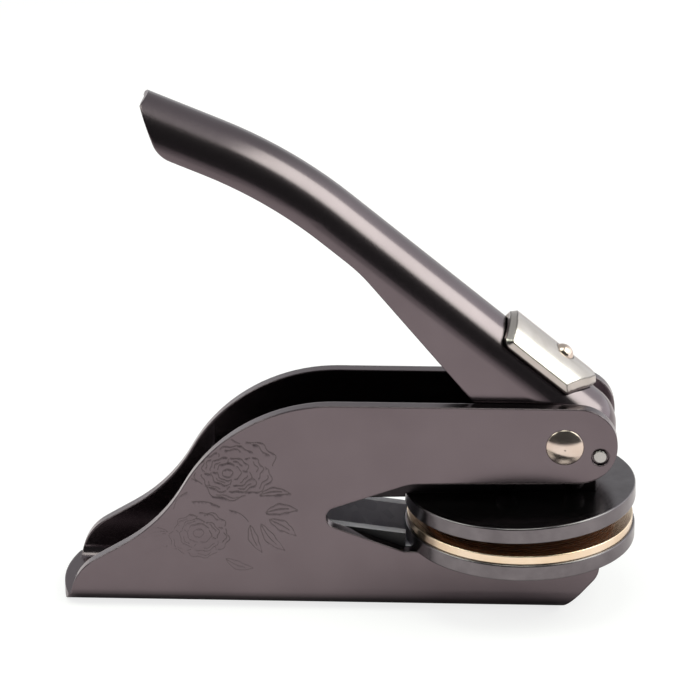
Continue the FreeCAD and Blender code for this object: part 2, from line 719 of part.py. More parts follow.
def upturned_screw(label, x, slack="0"):
    """Countersunk screw of the upper holder: head down at its lower face, shank up."""
    face = "Place.arm_underside - Size.holder_thickness"
    rise = "(Size.screw_head_diameter - Size.screw_diameter) / 2"
    head = doc.addObject("Part::Cone", f"{label}_head")
    bind(head, Radius1=f"Size.screw_head_diameter / 2 + {slack}",
         Radius2=f"Size.screw_diameter / 2 + {slack}", Height=rise,
         Placement__Base__x=x, Placement__Base__z=face)
    shank = post(f"{label}_shank", x, "0", f"{face} + {rise}", f"Size.screw_diameter / 2 + {slack}",
                 f"Size.screw_length + {slack} - {rise}")
    return fuse(label, [head, shank])


def arm_block():
    """Block riveted inside the arm that takes the screws of the upper holder."""
    body = block("arm_block_blank", "Place.arm_die_reach - Size.arm_block_back", "-Place.arm_inside",
                 "Place.arm_underside", "Size.arm_block_back + Size.arm_block_front",
                 "2 * Place.arm_inside", "Place.arm_web_underside - Place.arm_underside")
    tools = [axle(f"arm_block_bore_{name}", x, "Place.arm_rivet_level", "Size.arm_rivet_diameter / 2",
                  "-Size.arm_width", "Size.arm_width") for name, x in ARM_RIVETS]
    tools += [upturned_screw(f"arm_block_hole_{name}", x, "0.02") for name, x in ARM_SCREWS]
    return on_arm(cut("arm_block", body, tools))


def arm_rivets():
    """Two cross rivets through the arm and its block, with low domed heads."""
    rivets = []
    for name, x in ARM_RIVETS:
        shank = axle(f"arm_rivet_{name}_shank", x, "Place.arm_rivet_level", "Size.arm_rivet_diameter / 2",
                     "-Size.arm_width / 2", "Size.arm_width / 2")
        heads = [dome(f"arm_rivet_{name}_{side}", x, f"{sign}Size.arm_width / 2", "Place.arm_rivet_level",
                      "Size.arm_rivet_head_diameter", "Size.arm_rivet_head_height", (0, way, 0))
                 for side, sign, way in (("left", "", 1), ("right", "-", -1))]
        rivets.append(fuse(f"arm_rivet_{name}", [shank] + heads))
    return on_arm(group("arm_rivets", rivets))


def upper_die_holder():
    """Round plate under the arm, the same size as the lower one."""
    disc = post("upper_holder_disc", "Place.arm_die_reach", "0",
                "Place.arm_underside - Size.holder_thickness",
                "Size.holder_diameter / 2", "Size.holder_thickness")
    holes = [upturned_screw(f"upper_holder_hole_{name}", x, "Size.running_fit") for name, x in ARM_SCREWS]
    return on_arm(cut("upper_die_holder", disc, holes))


def upper_die():
    """Counter-die glued under the upper holder, blank and smaller than the holder."""
    return on_arm(group("upper_die", [post(
        "upper_die_disc", "Place.arm_die_reach", "0",
        "Place.arm_underside - Size.holder_thickness - Size.counter_thickness",
        "Size.counter_diameter / 2", "Size.counter_thickness")]))


def upper_holder_screws():
    """Two countersunk screws that hold the upper holder to the block in the arm."""
    return on_arm(group("upper_holder_screws", [
        upturned_screw(f"upper_screw_{name}", x) for name, x in ARM_SCREWS]))


# ---------------------------------------------------------------- lever, drawn with its crown level

def handle_point(along, drop):
    """Point on the bent half of the handle: distance past the bend, and depth below the crown."""
    return (f"-Size.bend_back - ({along}) * cos(Size.bend_angle) + ({drop}) * sin(Size.bend_angle)",
            f"Size.crown_height - ({along}) * sin(Size.bend_angle) - ({drop}) * cos(Size.bend_angle)")


def wall_point(angle):
    """Point on the small circle of wall round the pivot, at an angle below the horizontal."""
    return (f"Place.wall_radius * cos(Size.lever_angle - ({angle}))",
            f"Place.wall_radius * sin(Size.lever_angle - ({angle}))")


def round_crown(body, half_width, radius):
    """Round both long edges of the crown into an arch."""
    shape = body.Tip.Shape
    chosen = []
    for face in shape.Faces:
        low_u, high_u, low_v, high_v = face.ParameterRange
        if face.normalAt((low_u + high_u) / 2, (low_v + high_v) / 2).z > 0.5:
            chosen += [edge for edge in face.Edges
                       if all(abs(abs(v.Y) - half_width) < 1e-3 for v in edge.Vertexes)
                       and abs(edge.Vertexes[0].Y - edge.Vertexes[-1].Y) < 1e-3]
    return round_edges(body, lambda edge: any(edge.isSame(one) for one in chosen), radius)


def lever_shell():
    """Pressed sheet lever: arched crown, flat walls, slanted open tip, slot for the lock."""
    blank = new_body("lever_blank")
    hub_end = "-Size.root_drop / cos(Size.root_angle)"
    stop_corner = turned("sqrt(Place.wall_radius ^ 2 - Place.stop_edge ^ 2)", "-Place.stop_edge",
                         "Size.lever_angle")
    stop_end = turned("Size.lever_nose_reach", "-Place.stop_edge", "Size.lever_angle")
    heel = handle_point("Size.tip_heel_reach", "Size.handle_depth")
    pad(blank, "XZ_Plane", [
        handle_point("Size.tip_reach", "0"),
        ("-Size.bend_back", "Size.crown_height"),
        ("Place.nose_corner", "Size.crown_height"),
        stop_end,
        stop_corner,
        wall_point("Place.sweep_end / 2"),
        wall_point("Place.sweep_end"),
        ("0", hub_end),
        ("Place.root_back", "Place.handle_floor"),
        ("Place.lower_bend", "Place.handle_floor"),
        heel,
        handle_point("Size.tip_nose_reach", "Size.tip_nose_drop"),
    ], "Size.lever_width")
    round_corner(blank, "-Size.bend_back", "Size.crown_height", "Size.bend_radius")
    round_corner(blank, "Place.lower_bend", "Place.handle_floor", "Size.bend_radius - Size.handle_depth")
    round_corner(blank, "Place.nose_corner", "Size.crown_height", "Size.lever_nose_radius")
    round_corner(blank, "Place.root_back", "Place.handle_floor", "Size.root_radius")
    round_corner(blank, *heel, "Size.tip_heel_radius")
    round_crown(blank, number("Place.lever_half"), "Size.crown_radius")

    core = new_body("lever_core")
    inner_nose = "Size.lever_nose_reach - Size.lever_sheet"
    inner_crown = "Size.crown_height - Size.lever_sheet"
    nose_top = (f"({inner_nose} - ({inner_crown}) * sin(Size.lever_angle)) / cos(Size.lever_angle)",
                inner_crown)
    pad(core, "XZ_Plane", [
        handle_point("2 * Size.tip_reach", "Size.lever_sheet"),
        ("Place.inner_bend", inner_crown),
        nose_top,
        turned(inner_nose, "-2 * Size.crown_height", "Size.lever_angle"),
        handle_point("2 * Size.tip_reach", "6 * Size.crown_height"),
    ], "2 * Place.lever_inside")
    round_corner(core, "Place.inner_bend", inner_crown, "Size.bend_radius - Size.lever_sheet")
    round_corner(core, *nose_top, "Size.lever_nose_radius - Size.lever_sheet")
    round_crown(core, number("Place.lever_inside"), "Size.crown_radius - Size.lever_sheet")

    across = {"y_from": "-Size.lever_width", "y_to": "Size.lever_width"}
    slot_back = "Size.stud_back + Size.stud_diameter / 2 + Size.lock_travel + Size.slot_end_gap"
    slot_front = "Size.plate_front - Size.slot_end_gap"
    tools = [core, axle("lever_bore", "0", "0", "Size.pivot_diameter / 2 + Size.running_fit", **across),
             block("lever_slot", f"-({slot_back})", "-Size.slot_width / 2", "Place.keeper_top",
                   f"{slot_back} - ({slot_front})", "Size.slot_width", "Size.crown_height")]
    for name, x, z in CAM_RIVETS:
        tools.append(axle(f"lever_rivet_bore_{name}", x, z, "Size.cam_rivet_diameter / 2", **across))
    return on_lever(cut("lever_shell", blank, tools))


LOBE_X = "-Place.lobe_offset * cos(Size.lever_angle - Place.half_press)"
LOBE_Z = "-Place.lobe_offset * sin(Size.lever_angle - Place.half_press)"
CAM_RIVETS = (("low", "-Size.cam_rivet_low_back", "-Size.cam_rivet_low_drop"),
              ("high", "-Size.cam_rivet_high_back", "Size.cam_rivet_high_rise"))


def press_cam():
    """Block between the lever's walls: hub on the pivot pin and the round lobe that presses."""
    half = "Place.lever_inside - Size.cam_side_gap"
    hub = axle("cam_hub", "0", "0", "Size.hub_radius", f"-({half})", half)
    lobe = axle("cam_lobe", LOBE_X, LOBE_Z, "Size.lobe_radius", f"-({half})", half)
    across = {"y_from": "-Size.lever_width", "y_to": "Size.lever_width"}
    tools = [axle("cam_bore", "0", "0", "Size.pivot_diameter / 2 + Size.running_fit", **across)]
    for name, x, z in CAM_RIVETS:
        tools.append(axle(f"cam_rivet_bore_{name}", x, z, "Size.cam_rivet_diameter / 2", **across))
    return on_lever(cut("press_cam", fuse("cam_blank", [hub, lobe]), tools))


def cam_rivets():
    """Two cross rivets, flush with the lever's walls, that lock the cam to the lever."""
    return on_lever(group("cam_rivets", [
        axle(f"cam_rivet_{name}", x, z, "Size.cam_rivet_diameter / 2",
             "-Place.lever_half", "Place.lever_half")
        for name, x, z in CAM_RIVETS]))


# ---------------------------------------------------------------- slide lock, on the lever's crown

def lock_cover():
    """Curved thumb cover over the crown, rounded off at its lower end and bevelled all round."""
    body = new_body("cover_blank")
    arch = body.newObject("PartDesign::Revolution", "cover_arch")
    arch.Profile = outline(body, "XZ_Plane", [
        ("-Size.cover_back", "Place.cover_inside"), ("-Size.cover_front", "Place.cover_inside"),
        ("-Size.cover_front", "Place.cover_outside"), ("-Size.cover_back", "Place.cover_outside")])
    arch.ReferenceAxis = ([part for part in body.Origin.OriginFeatures if part.Role == "X_Axis"][0], [""])
    arch.Midplane = True
    bind(arch, Angle="2 * Size.cover_half_angle")
    doc.recompute()
    beyond = "2 * Place.cover_outside"
    edge = "Place.cover_edge_half"
    pocket(body, "XY_Plane", [
        ("0", f"-{beyond}"), ("0", beyond),
        ("-Size.cover_front_edge", beyond), ("-Size.cover_front_edge", edge),
        ("-Size.cover_front_shoulder", "Size.cover_front_shoulder_half"), ("-Size.cover_front", "0"),
        ("-Size.cover_front_shoulder", "-Size.cover_front_shoulder_half"),
        ("-Size.cover_front_edge", f"-{edge}"), ("-Size.cover_front_edge", f"-{beyond}"),
    ], "2 * Place.cover_crest")
    pocket(body, "XY_Plane", [
        ("-2 * Size.cover_back", f"-{beyond}"), ("-Size.cover_back_edge", f"-{beyond}"),
        ("-Size.cover_back_edge", f"-{edge}"), ("-Size.cover_back", "-Size.cover_back_flat"),
        ("-Size.cover_back", "Size.cover_back_flat"), ("-Size.cover_back_edge", edge),
        ("-Size.cover_back_edge", beyond), ("-2 * Size.cover_back", beyond),
    ], "2 * Place.cover_crest")
    outside = number("Place.cover_outside")

    def upright_at(across, aside):
        x, y = number(across), number(aside)
        return lambda edge: all(abs(v.X - x) < 1e-3 and abs(abs(v.Y) - y) < 1e-3 for v in edge.Vertexes)

    def back_corner(edge):
        return all(abs(math.degrees(math.atan2(abs(v.Y), v.Z)) - number("Size.cover_half_angle")) < 1e-2
                   and v.X < 1e-3 - number("Size.cover_back_edge") for v in edge.Vertexes)

    def on_rim(edge):
        return all(abs(math.hypot(point.y, point.z) - outside) < 1e-3 for point in edge.discretize(7))

    round_edges(body, upright_at("-Size.cover_front_shoulder", "Size.cover_front_shoulder_half"),
                "Size.cover_shoulder_radius")
    round_edges(body, upright_at("-Size.cover_front", "0"), "Size.cover_crown_radius")
    round_edges(body, back_corner, "Size.cover_corner_radius")
    base = body.Tip
    bevel = body.newObject("PartDesign::Chamfer", "cover_bevel")
    bevel.Base = (base, [f"Edge{index}" for index, edge in enumerate(base.Shape.Edges, 1) if on_rim(edge)])
    bind(bevel, Size="Size.cover_bevel")
    bind(body, Placement__Base__z="Place.crown_centre")
    tools = [
        post("cover_stud_hole", "-Size.stud_back", "0", "0",
             "Size.stud_diameter / 2", "2 * Place.cover_crest"),
        post("cover_stud_seat", "-Size.stud_back", "0", "Place.cover_crest - Size.stud_seat_depth",
             "Size.stud_head_diameter / 2", "Size.cover_thickness"),
    ]
    return on_lever(cut("lock_cover", body, tools))


def lock_plate():
    """Guide block that runs in the crown's slot, between the keeper and the cover."""
    return on_lever(group("lock_plate", [block(
        "lock_plate_block", "-Size.plate_back", "-Size.plate_thickness / 2", "Place.keeper_top",
        "Size.plate_back - Size.plate_front", "Size.plate_thickness", "Place.plate_top - Place.keeper_top")]))


def lock_keeper():
    """Flat plate inside the crown that keeps the cover from lifting off."""
    body = block("keeper_blank", "-Size.keeper_back", "-Size.keeper_width / 2",
                 "Place.keeper_top - Size.keeper_thickness", "Size.keeper_back - Size.plate_front",
                 "Size.keeper_width", "Size.keeper_thickness")
    hole = post("keeper_hole", "-Size.stud_back", "0", "0", "Size.stud_diameter / 2", "Size.crown_height")
    return on_lever(cut("lock_keeper", body, [hole]))


def lock_stud():
    """Domed rivet through the cover, the slot and the keeper."""
    seat = "Place.cover_crest - Size.stud_seat_depth"
    foot = "Place.keeper_top - Size.keeper_thickness"
    shank = post("stud_shank", "-Size.stud_back", "0", foot, "Size.stud_diameter / 2", f"{seat} - ({foot})")
    head = dome("stud_head", "-Size.stud_back", "0", seat, "Size.stud_head_diameter",
                "Size.stud_head_height", (0, 0, 1))
    return on_lever(fuse("lock_stud", [shank, head]))


# ---------------------------------------------------------------- build, check and write

nodes = [
    frame_body(), anvil_channel(), channel_rivets(), anvil_block(), lower_die_holder(), lower_die(),
    lower_holder_screws(), pivot_pin(), stop_pin(), hinge_pin(), spring_post(), return_spring(),
    washers("pivot_washers", "Place.pivot_reach", "Size.pivot_height", "Size.pivot_washer_diameter",
            "Size.pivot_diameter", "Place.lever_half", "Place.half_gap"),
    washers("hinge_washers", "-Size.hinge_back", "Size.hinge_height", "Size.hinge_washer_diameter",
            "Size.hinge_pin_diameter", "Size.arm_width / 2", "Place.anvil_inside"),
    upper_arm(), arm_block(), arm_rivets(), upper_die_holder(), upper_die(), upper_holder_screws(),
    lever_shell(), press_cam(), cam_rivets(), lock_cover(), lock_plate(), lock_keeper(), lock_stud(),
]
doc.recompute()

faults = [item.Label for item in doc.Objects if {"Invalid", "Error"} & set(item.State)]
if faults:
    raise RuntimeError(f"objects that failed to build: {faults}")
for node in nodes:
    if node.Shape.isNull() or not node.Shape.isValid() or not node.Shape.Solids:
        raise RuntimeError(f"{node.Label} has no valid solid")
for node in nodes:
    node.Shape.exportStep(f"parts/{node.Label}.step")
    print(node.Label, len(node.Shape.Solids), round(node.Shape.Volume, 1))
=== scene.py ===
import logging
import math
from dataclasses import dataclass, field
from enum import Enum

import bmesh
import bpy
import numpy as np
from mathutils import Matrix, Vector
from mathutils.geometry import delaunay_2d_cdt


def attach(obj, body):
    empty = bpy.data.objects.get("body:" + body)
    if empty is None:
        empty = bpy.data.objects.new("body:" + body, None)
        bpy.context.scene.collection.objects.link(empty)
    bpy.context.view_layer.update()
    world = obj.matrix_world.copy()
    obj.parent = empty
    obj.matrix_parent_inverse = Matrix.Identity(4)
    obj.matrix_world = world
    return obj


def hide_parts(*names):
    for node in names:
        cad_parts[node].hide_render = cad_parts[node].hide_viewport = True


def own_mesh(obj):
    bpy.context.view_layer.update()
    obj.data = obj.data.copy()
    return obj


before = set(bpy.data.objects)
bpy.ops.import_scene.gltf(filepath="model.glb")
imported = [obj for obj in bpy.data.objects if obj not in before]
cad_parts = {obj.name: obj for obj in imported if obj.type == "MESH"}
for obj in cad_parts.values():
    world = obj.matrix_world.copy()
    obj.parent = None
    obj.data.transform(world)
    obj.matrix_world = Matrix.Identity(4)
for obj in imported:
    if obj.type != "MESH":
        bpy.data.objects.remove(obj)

log = logging.getLogger("seal_embosser")
Socket = bpy.types.NodeSocket
Curve = np.ndarray

MM = 0.001
WHITE = (1.0, 1.0, 1.0, 1.0)
BLACK = (0.0, 0.0, 0.0, 1.0)
SMOOTH = {"interpolation_type": "SMOOTHSTEP"}
SMOOTHER = {"interpolation_type": "SMOOTHERSTEP"}

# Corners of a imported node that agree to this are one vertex, faces that bend less than COPLANAR_DEG are
# one face, and an edge that bends more than SHARP_DEG is a sharp one, to be broken.
WELD_M = 1e-6
COPLANAR_DEG = 0.2
SHARP_DEG = 32.0


class Side(Enum):
    """Cheek of the frame, by the sign of its Y."""

    NEAR = -1
    FAR = 1


@dataclass(frozen=True)
class Ramp:
    """Range of a value, and the levels at its two ends."""

    start: float
    end: float
    first: float
    last: float

    def sockets(self, value: Socket) -> dict[str, Socket | float]:
        """Inputs of a Map Range node that takes the value from the range to the levels."""
        return {"Value": value, "From Min": self.start, "From Max": self.end,
                "To Min": self.first, "To Max": self.last}


# ---------------------------------------------------------------- node and colour helpers

def linear(shade: str) -> tuple[float, float, float, float]:
    """Turn an sRGB hex shade into a linear colour.

    Args:
        shade: six hex digits, such as "74696B".

    Returns:
        Red, green, blue and an alpha of one.
    """
    channel = np.array([int(shade[at:at + 2], 16) for at in (0, 2, 4)]) / 255.0
    value = np.where(channel <= 0.04045, channel / 12.92, ((channel + 0.055) / 1.055) ** 2.4)
    return (float(value[0]), float(value[1]), float(value[2]), 1.0)


def add(tree: bpy.types.NodeTree, kind: str, settings: dict | None = None,
        inputs: dict | None = None) -> bpy.types.Node:
    """Add one node, set its properties and fill or link its inputs.

    Args:
        tree: node tree that gets the node.
        kind: node type name.
        settings: property names and values.
        inputs: socket names or numbers, each with a value or an output socket to link.

    Returns:
        The new node.
    """
    node = tree.nodes.new(kind)
    for name, value in (settings or {}).items():
        setattr(node, name, value)
    for name, value in (inputs or {}).items():
        if isinstance(value, Socket):
            tree.links.new(value, node.inputs[name])
        else:
            node.inputs[name].default_value = value
    return node


def per_mm(size_mm: float) -> float:
    """Texture scale at which one feature is size_mm across, on coordinates in metres."""
    return 1.0 / (size_mm * MM)


def blank_material(name: str) -> tuple[bpy.types.Material, bpy.types.NodeTree]:
    """New material with an empty node tree.

    Args:
        name: material name.

    Returns:
        The material and its node tree.
    """
    material = bpy.data.materials.new(name)
    material.use_nodes = True
    material.node_tree.nodes.clear()
    return material, material.node_tree


def spread(tree: bpy.types.NodeTree, value: Socket, low: float, high: float) -> Socket:
    """Map a texture's middle range, 0.3 to 0.7, onto low to high."""
    middle = Ramp(0.3, 0.7, low, high)
    return add(tree, "ShaderNodeMapRange", {"clamp": True}, middle.sockets(value)).outputs["Result"]


def blend_shades(tree: bpy.types.NodeTree, factor: Socket, first: str, second: str) -> Socket:
    """Mix two sRGB shades by a factor."""
    mix = add(tree, "ShaderNodeMix", {"data_type": "RGBA"}, {0: factor, 6: linear(first), 7: linear(second)})
    return mix.outputs[2]


def mottled(tree: bpy.types.NodeTree, place: Socket, noise: tuple[float, float, float],
            first: str, second: str) -> Socket:
    """Mix two sRGB shades by a noise of a real size.

    Args:
        tree: the material's node tree.
        place: coordinates in metres.
        noise: size of its features in millimetres, detail and roughness.
        first: one shade.
        second: the other shade.

    Returns:
        The mixed colour.
    """
    size_mm, detail, roughness = noise
    patches = add(tree, "ShaderNodeTexNoise", None, {
        "Vector": place, "Scale": per_mm(size_mm), "Detail": detail, "Roughness": roughness})
    return blend_shades(tree, spread(tree, patches.outputs["Fac"], 0.0, 1.0), first, second)


def close_surface(tree: bpy.types.NodeTree, colour: Socket, gloss: dict, height: Socket, height_mm: float,
                  edge_mm: float = 0.0) -> None:
    """End a material's tree: edges rounded in the shading, bump of a real height, shader, output.

    Args:
        tree: the material's node tree.
        colour: base colour.
        gloss: the shader's inputs other than its colour and normal.
        height: surface height from 0 to 1.
        height_mm: what a height of 1 stands for.
        edge_mm: radius at which tumbling and plating leave the edges, or 0 for edges left as they are.
    """
    relief = {"Height": height, "Distance": height_mm * MM, "Strength": 1.0}
    if edge_mm:
        edge = add(tree, "ShaderNodeBevel", {"samples": 6}, {"Radius": edge_mm * MM})
        relief["Normal"] = edge.outputs["Normal"]
    bump = add(tree, "ShaderNodeBump", None, relief)
    shader = add(tree, "ShaderNodeBsdfPrincipled", None, {
        "Base Color": colour, **gloss, "Normal": bump.outputs["Normal"]})
    add(tree, "ShaderNodeOutputMaterial", None, {"Surface": shader.outputs["BSDF"]})


# ---------------------------------------------------------------- finishes

@dataclass(frozen=True)
class SatinPlating:
    """Plating over blasted sheet: even satin gloss, a slow drift of tone, a fine grain under the coat.

    The blasted grain is about 0.05 mm on the real sheet; it is drawn at grain_mm so that it shows.
    """

    name: str
    shade: str
    drift_shade: str
    roughness: float
    grain_mm: float = 0.25
    grain_height_mm: float = 0.0009
    drift_mm: float = 16.0
    edge_mm: float = 0.6
    gloss_spread: float = 0.03

    def material(self) -> bpy.types.Material:
        """Build the node material.

        Returns:
            The material.
        """
        material, tree = blank_material(self.name)
        place = add(tree, "ShaderNodeTexCoord").outputs["Object"]
        colour = mottled(tree, place, (self.drift_mm, 3.0, 0.55), self.shade, self.drift_shade)
        grain = add(tree, "ShaderNodeTexNoise", None, {
            "Vector": place, "Scale": per_mm(self.grain_mm), "Detail": 2.0, "Roughness": 0.6}).outputs["Fac"]
        rough = spread(tree, grain, self.roughness - self.gloss_spread, self.roughness + self.gloss_spread)
        gloss = {"Metallic": 1.0, "Roughness": rough}
        close_surface(tree, colour, gloss, grain, self.grain_height_mm, self.edge_mm)
        return material


@dataclass(frozen=True)
class TurnedMetal:
    """Face-turned disc: tool rings about its own axis that show in the gloss, and a light tarnish.

    The rings of a fine cut are about 0.1 mm apart; they are drawn at ring_mm so that they show.
    """

    name: str
    shade: str
    tarnish_shade: str
    roughness: float
    axis_x_mm: float
    ring_mm: float = 0.45
    ring_height_mm: float = 0.001
    tarnish_mm: float = 7.0
    edge_mm: float = 0.35
    smoother: float = 0.05
    rougher: float = 0.07

    def material(self) -> bpy.types.Material:
        """Build the node material.

        Returns:
            The material.
        """
        material, tree = blank_material(self.name)
        place = add(tree, "ShaderNodeTexCoord").outputs["Object"]
        centred = add(tree, "ShaderNodeMapping", None, {
            "Vector": place, "Location": (-self.axis_x_mm * MM, 0.0, 0.0)}).outputs["Vector"]
        flat = add(tree, "ShaderNodeVectorMath", {"operation": "MULTIPLY"}, {
            0: centred, 1: (1.0, 1.0, 0.0)})
        radius = add(tree, "ShaderNodeVectorMath", {"operation": "LENGTH"}, {0: flat.outputs["Vector"]})
        rings = add(tree, "ShaderNodeTexNoise", {"noise_dimensions": "1D"}, {
            "W": radius.outputs["Value"], "Scale": per_mm(self.ring_mm), "Detail": 2.0,
            "Roughness": 0.7}).outputs["Fac"]
        colour = mottled(tree, place, (self.tarnish_mm, 4.0, 0.6), self.shade, self.tarnish_shade)
        rough = spread(tree, rings, self.roughness - self.smoother, self.roughness + self.rougher)
        gloss = {"Metallic": 1.0, "Roughness": rough}
        close_surface(tree, colour, gloss, rings, self.ring_height_mm, self.edge_mm)
        return material


def painted_crease_shade(tree: bpy.types.NodeTree, colour: Socket, reach_mm: float, crease_shade: float) -> Socket:
    """Darken a colour along creases: painted shade.

    A crease is where the rounded normal turns away from the face's own.

    Args:
        tree: the material's node tree.
        colour: colour of the clean metal.
        reach_mm: how far from a crease the painted shade reaches.
        crease_shade: share of the colour that the painted shade takes away in the crease.

    Returns:
        The darkened colour.
    """
    edge = add(tree, "ShaderNodeBevel", {"samples": 6}, {"Radius": reach_mm * MM})
    face = add(tree, "ShaderNodeNewGeometry")
    align = add(tree, "ShaderNodeVectorMath", {"operation": "DOT_PRODUCT"}, {
        0: edge.outputs["Normal"], 1: face.outputs["Normal"]})
    agreement = Ramp(0.975, 0.9985, crease_shade, 0.0)
    crease = add(tree, "ShaderNodeMapRange", None, agreement.sockets(align.outputs["Value"]))
    mix = add(tree, "ShaderNodeMix", {"data_type": "RGBA"}, {
        0: crease.outputs["Result"], 6: colour, 7: BLACK})
    return mix.outputs[2]


@dataclass(frozen=True)
class LinedMetal:
    """Ground, drawn or buffed metal: hairlines along one direction of the piece, and a faint haze.

    The hairlines are a few hundredths of a millimetre wide; they are drawn at line_mm so that they show.
    """

    name: str
    shade: str
    haze_shade: str
    roughness: float
    tilt_deg: float = 0.0
    line_mm: float = 0.22
    length_mm: float = 9.0
    line_height_mm: float = 0.0004
    haze_mm: float = 5.0
    edge_mm: float = 0.3
    # painted shade along creases: its share of the colour, and its reach
    crease_shade: float = 0.0
    crease_shade_reach_mm: float = 0.55
    smoother_share: float = 0.8
    rougher_share: float = 1.25

    def material(self) -> bpy.types.Material:
        """Build the node material.

        Returns:
            The material.
        """
        material, tree = blank_material(self.name)
        place = add(tree, "ShaderNodeTexCoord").outputs["Object"]
        level = add(tree, "ShaderNodeMapping", None, {
            "Vector": place, "Rotation": (0.0, -math.radians(self.tilt_deg), 0.0)}).outputs["Vector"]
        drawn_out = add(tree, "ShaderNodeVectorMath", {"operation": "MULTIPLY"}, {
            0: level, 1: (per_mm(self.length_mm), per_mm(self.line_mm), per_mm(self.line_mm))})
        lines = add(tree, "ShaderNodeTexNoise", None, {
            "Vector": drawn_out.outputs["Vector"], "Scale": 1.0, "Detail": 2.0,
            "Roughness": 0.6}).outputs["Fac"]
        colour = mottled(tree, place, (self.haze_mm, 3.0, 0.5), self.shade, self.haze_shade)
        # painted shade along the creases
        if self.crease_shade:
            colour = painted_crease_shade(tree, colour, self.crease_shade_reach_mm, self.crease_shade)
        rough = spread(tree, lines, self.roughness * self.smoother_share, self.roughness * self.rougher_share)
        gloss = {"Metallic": 1.0, "Roughness": rough}
        close_surface(tree, colour, gloss, lines, self.line_height_mm, self.edge_mm)
        return material


@dataclass(frozen=True)
class ChannelZinc:
    """Zinc coat on a folded channel: matt and spangled on its inner faces, painted black on the outer ones as
    the shadow between channel and cheeks.

    A face is an outer one where its distance from the middle plane, times its normal's Y, is over
    shadowed_side_mm.
    """

    name: str
    shade: str
    spangle_shade: str
    painted_shadow_shade: str
    spangle_mm: float = 2.5
    grain_mm: float = 0.3
    grain_height_mm: float = 0.004
    shadowed_side_mm: float = 1.0
    roughness: tuple[float, float] = (0.45, 0.6)

    def material(self) -> bpy.types.Material:
        """Build the node material.

        Returns:
            The material.
        """
        material, tree = blank_material(self.name)
        source = add(tree, "ShaderNodeTexCoord")
        place = source.outputs["Object"]
        spangle = add(tree, "ShaderNodeTexVoronoi", None, {
            "Vector": place, "Scale": per_mm(self.spangle_mm)})
        grain = add(tree, "ShaderNodeTexNoise", None, {
            "Vector": place, "Scale": per_mm(self.grain_mm), "Detail": 3.0, "Roughness": 0.6}).outputs["Fac"]
        tone = add(tree, "ShaderNodeSeparateXYZ", None, {"Vector": spangle.outputs["Color"]})
        inner = blend_shades(tree, tone.outputs["X"], self.shade, self.spangle_shade)
        facing = add(tree, "ShaderNodeVectorMath", {"operation": "MULTIPLY"}, {
            0: place, 1: source.outputs["Normal"]})
        across = add(tree, "ShaderNodeSeparateXYZ", None, {"Vector": facing.outputs["Vector"]})
        # outer faces take the painted shadow
        outer = add(tree, "ShaderNodeMath", {"operation": "GREATER_THAN"}, {
            0: across.outputs["Y"], 1: self.shadowed_side_mm * MM})
        colour = add(tree, "ShaderNodeMix", {"data_type": "RGBA"}, {
            0: outer.outputs["Value"], 6: inner, 7: linear(self.painted_shadow_shade)})
        rough = spread(tree, grain, *self.roughness)
        gloss = {"Metallic": 0.0, "Roughness": rough}
        close_surface(tree, colour.outputs[2], gloss, grain, self.grain_height_mm)
        return material


@dataclass(frozen=True)
class MouldedResin:
    """Moulded counter-die resin: dull, slightly speckled with its filler, an open fine texture."""

    name: str
    shade: str
    filler_shade: str
    roughness: float = 0.55
    filler_mm: float = 0.6
    texture_mm: float = 0.3
    texture_height_mm: float = 0.01

    def material(self) -> bpy.types.Material:
        """Build the node material.

        Returns:
            The material.
        """
        material, tree = blank_material(self.name)
        place = add(tree, "ShaderNodeTexCoord").outputs["Object"]
        colour = mottled(tree, place, (self.filler_mm, 4.0, 0.65), self.shade, self.filler_shade)
        texture = add(tree, "ShaderNodeTexNoise", None, {
            "Vector": place, "Scale": per_mm(self.texture_mm), "Detail": 2.0})
        gloss = {"Roughness": self.roughness, "IOR": 1.5}
        close_surface(tree, colour, gloss, texture.outputs["Fac"], self.texture_height_mm)
        return material


# Gunmetal plating on blasted and pressed steel sheet: a warm grey mirror blurred to satin.
GUNMETAL = SatinPlating("gunmetal_plated_sheet", "756B6F", "6F6569", 0.21)
# The same sheet, darker at the bottom of an engraved line: painted shade in the groove.
GROOVE_DARK = SatinPlating("engraved_line_painted_shade", "625A5C", "5B5355", 0.27)
# Black plating on the arm and its rivets: satin, made nearly black as painted shade under the cheeks.
DARK_PLATING_AND_SHADE = SatinPlating("satin_black_plating_and_painted_shade", "332F31", "2A2729", 0.34)
# Zinc on the inner channel: matt pale grey with a spangle inside; its outer faces, against the cheeks, are
# painted black as shadow.
CHANNEL_ZINC = ChannelZinc("matt_zinc_and_painted_shadow", "E6E3EA", "D0CDD6", "1C1B1E")
# Plated and turned die plates: bluer and glossier than the sheet, stained a little.
TURNED_PLATE = TurnedMetal("turned_gunmetal_plate", "7E797C", "6D686B", 0.19, 41.75, 0.45, 0.0003, 5.0)
# Turned and lacquered brass, pale.
TURNED_BRASS = TurnedMetal("turned_brass", "FBE8D0", "EFD6B6", 0.22, 41.75, 0.45, 0.0004)
# Moulded phenolic resin of the counter-die: brown, flecked with its filler.
COUNTER_RESIN = MouldedResin("moulded_phenolic_resin", "7A4A28", "693C1E")
# Buffed nickel over brass: warm, with a fine haze.
POLISHED_NICKEL = LinedMetal("polished_nickel", "E8D8CD", "D8C6B8", 0.18, 0.0, 0.3, 3.0, 0.0004)
# Nickel buffed along the cover: near white with a soft streak, and painted shade along its creases.
BUFFED_NICKEL = LinedMetal("buffed_nickel", "CAC3BE", "BDB6B0", 0.20, 39.58, 0.25, 10.0, 0.0003, crease_shade=0.8)
# Ground silver-grey steel of pins and rivets.
GROUND_STEEL = LinedMetal("ground_steel", "C4C2BF", "B4B2B0", 0.28, 0.0, 0.2, 2.0, 0.0006)
